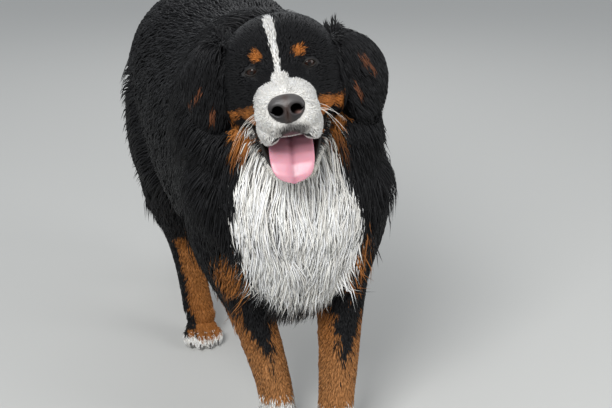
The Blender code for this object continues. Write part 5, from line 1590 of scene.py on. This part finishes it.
def build_whiskers(finish):
    """White whiskers that arch out and down from the pads beside the nose."""
    rng = np.random.default_rng(SEED + 1)
    count = WHISKERS
    side = np.repeat([-1.0, 1.0], count // 2)
    row = np.tile(np.arange(count // 2), 2)
    roots = np.stack(
        [
            side * (0.036 + 0.003 * (row % 3)),
            -0.150 + 0.006 * (row % 5) + 0 * side,
            -0.036 - 0.008 * (row // 3) + 0 * side,
        ],
        axis=1,
    )
    t = np.linspace(0, 1, 9)[None, :, None]
    reach = rng.uniform(0.035, 0.060, count)[:, None, None]
    out = unit(np.stack([side * 0.9, 0.25 + rng.normal(0, 0.2, count), -0.15 + rng.normal(0, 0.2, count)], 1))
    drop = np.array([0, 0.1, -1.0])[None, None]
    paths = roots[:, None] + out[:, None] * t * reach + drop * t**2 * reach * 0.75
    return fans("whiskers", paths, np.full(count, WHISKER_RADIUS), finish)


CLAW_RADIUS = 0.0036


def build_claws(finish):
    """A short blunt claw at the front of each toe, bent down to the floor."""
    paths = []
    t = np.linspace(0, 1, 7)[:, None]
    for centre, heading, size in PAWS.values():
        place = Matrix.Translation(centre) @ Matrix.Rotation(heading, 4, "Z") @ Matrix.Scale(size, 4)
        for side, ahead in TOES:
            start = np.array([side * 1.04, -ahead - 0.020, 0.0150])
            path = start + t * np.array([0, -0.015, -0.0015]) + t**2 * np.array([0, 0.001, -0.0065])
            paths.append(moved(path, place))
    paths = np.array(paths)
    paths = moved(paths.reshape(-1, 3), TO_HEAD).reshape(paths.shape)
    return fans("claws", paths, np.full(len(paths), CLAW_RADIUS), finish, 10)


def soft_light(name, at, towards, size, power):
    """A square lamp that faces a point."""
    lamp = bpy.data.lights.new(name, "AREA")
    lamp.shape = "RECTANGLE"
    lamp.size, lamp.size_y = size
    lamp.energy = power
    made = bpy.data.objects.new(name, lamp)
    bpy.context.scene.collection.objects.link(made)
    made.location = at
    made.rotation_euler = (Vector(towards) - Vector(at)).to_track_quat("-Z", "Y").to_euler()
    return made


# Each lamp's place, size and power in watts, and the point that all of them face
LAMPS = {
    "key lamp": ((-1.6, -2.6, 2.6), (1.4, 1.4), 132),
    "fill lamp": ((2.4, -1.8, 1.4), (1.8, 1.8), 34),
    "back lamp": ((0.8, 2.6, 2.4), (1.8, 1.8), 18),
}
LIT_POINT = (0, -0.2, 0.5)
SKY_STRENGTH = 0.85
# Half the floor's width, and how far it lies below the soles
FLOOR_HALF = 12.0
FLOOR_DROP = 0.0004


def build_stage():
    """A pale floor, an even pale sky and three soft lamps."""
    corners = np.array([(-1.0, -1, 0), (1, -1, 0), (1, 1, 0), (-1, 1, 0)]) * FLOOR_HALF
    floor = mesh_object("floor", corners - np.array([0, 0, FLOOR_DROP]), np.array([[0, 1, 2, 3]]))
    # Matt painted board, which spreads the light evenly and shows no grain
    floor.data.materials.append(plain_material("pale matt floor", linear("B9B9B6"), 0.9))
    world = bpy.data.worlds.new("even sky")
    bpy.context.scene.world = world
    world.use_nodes = True
    back = world.node_tree.nodes["Background"]
    back.inputs["Color"].default_value = (*linear("D5D9DE"), 1)
    back.inputs["Strength"].default_value = SKY_STRENGTH
    for name, (at, size, power) in LAMPS.items():
        soft_light(name, at, LIT_POINT, size, power)


# The camera's place, the direction it looks in and its focal length, found from the photo
CAMERA_PLACE = np.array([-0.478, -2.011, 1.037])
CAMERA_AZIMUTH = math.radians(16.32)
CAMERA_PITCH = math.radians(18.68)
SENSOR = 36.0
FOCAL_PIXELS = 1170.0
PHOTO_WIDTH = 612


def build_camera():
    """The photo's camera, looking along its azimuth, which turns from +Y to +X, and down by its
    pitch."""
    lens = bpy.data.cameras.new("camera")
    lens.sensor_width = SENSOR
    lens.lens = FOCAL_PIXELS / PHOTO_WIDTH * SENSOR
    made = bpy.data.objects.new("camera", lens)
    bpy.context.scene.collection.objects.link(made)
    made.location = CAMERA_PLACE + SHIFT
    flat = math.cos(CAMERA_PITCH)
    looks = Vector(
        (math.sin(CAMERA_AZIMUTH) * flat, math.cos(CAMERA_AZIMUTH) * flat, -math.sin(CAMERA_PITCH))
    )
    made.rotation_euler = looks.to_track_quat("-Z", "Y").to_euler()
    bpy.context.scene.camera = made


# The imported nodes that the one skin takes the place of
PAIRED = ("ear", "foreleg", "forepaw", "hindpaw", "shank", "thigh")
FLESH = [
    *(f"{part}_{side}" for side in ("left", "right") for part in PAIRED),
    "head",
    "jaw",
    "neck",
    "tail",
    "torso",
]


def build():
    """The whole dog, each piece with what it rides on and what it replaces."""
    skin = build_skin()
    paint_skin(skin)
    skin.data.shade_smooth()
    skin.data.materials.clear()
    skin.data.materials.append(skin_material())
    skin.data.polygons.foreach_set("material_index", np.zeros(len(skin.data.polygons), np.int32))
    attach(skin, "root")
    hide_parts(*FLESH)

    hair = hair_material()
    for piece in grow_coat(skin):
        piece.data.materials.append(hair)
        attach(piece, "root")

    wet_eye = eye_material()
    eyes = [build_eye(side, wet_eye) for side in (-1, 1)]
    for made, node in zip(eyes, ("eye_right", "eye_left")):
        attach(made, "root")
        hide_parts(node)
    nose = build_nose(leather_material())
    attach(nose, "root")
    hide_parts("nose")
    tongue = build_tongue(tongue_material())
    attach(tongue, "root")
    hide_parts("tongue")
    # A whisker is one thick smooth hair, so it is plain white with a mild shine
    whiskers = build_whiskers(plain_material("white whisker", linear("E8E4DC"), 0.4))
    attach(whiskers, "root")
    # A claw is smooth dark horn, worn to a low gloss
    claws = build_claws(plain_material("dark horn claw", linear("2B2523"), 0.35))
    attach(claws, "root")


build()
build_stage()
build_camera()
bpy.context.scene.view_settings.view_transform = "Standard"
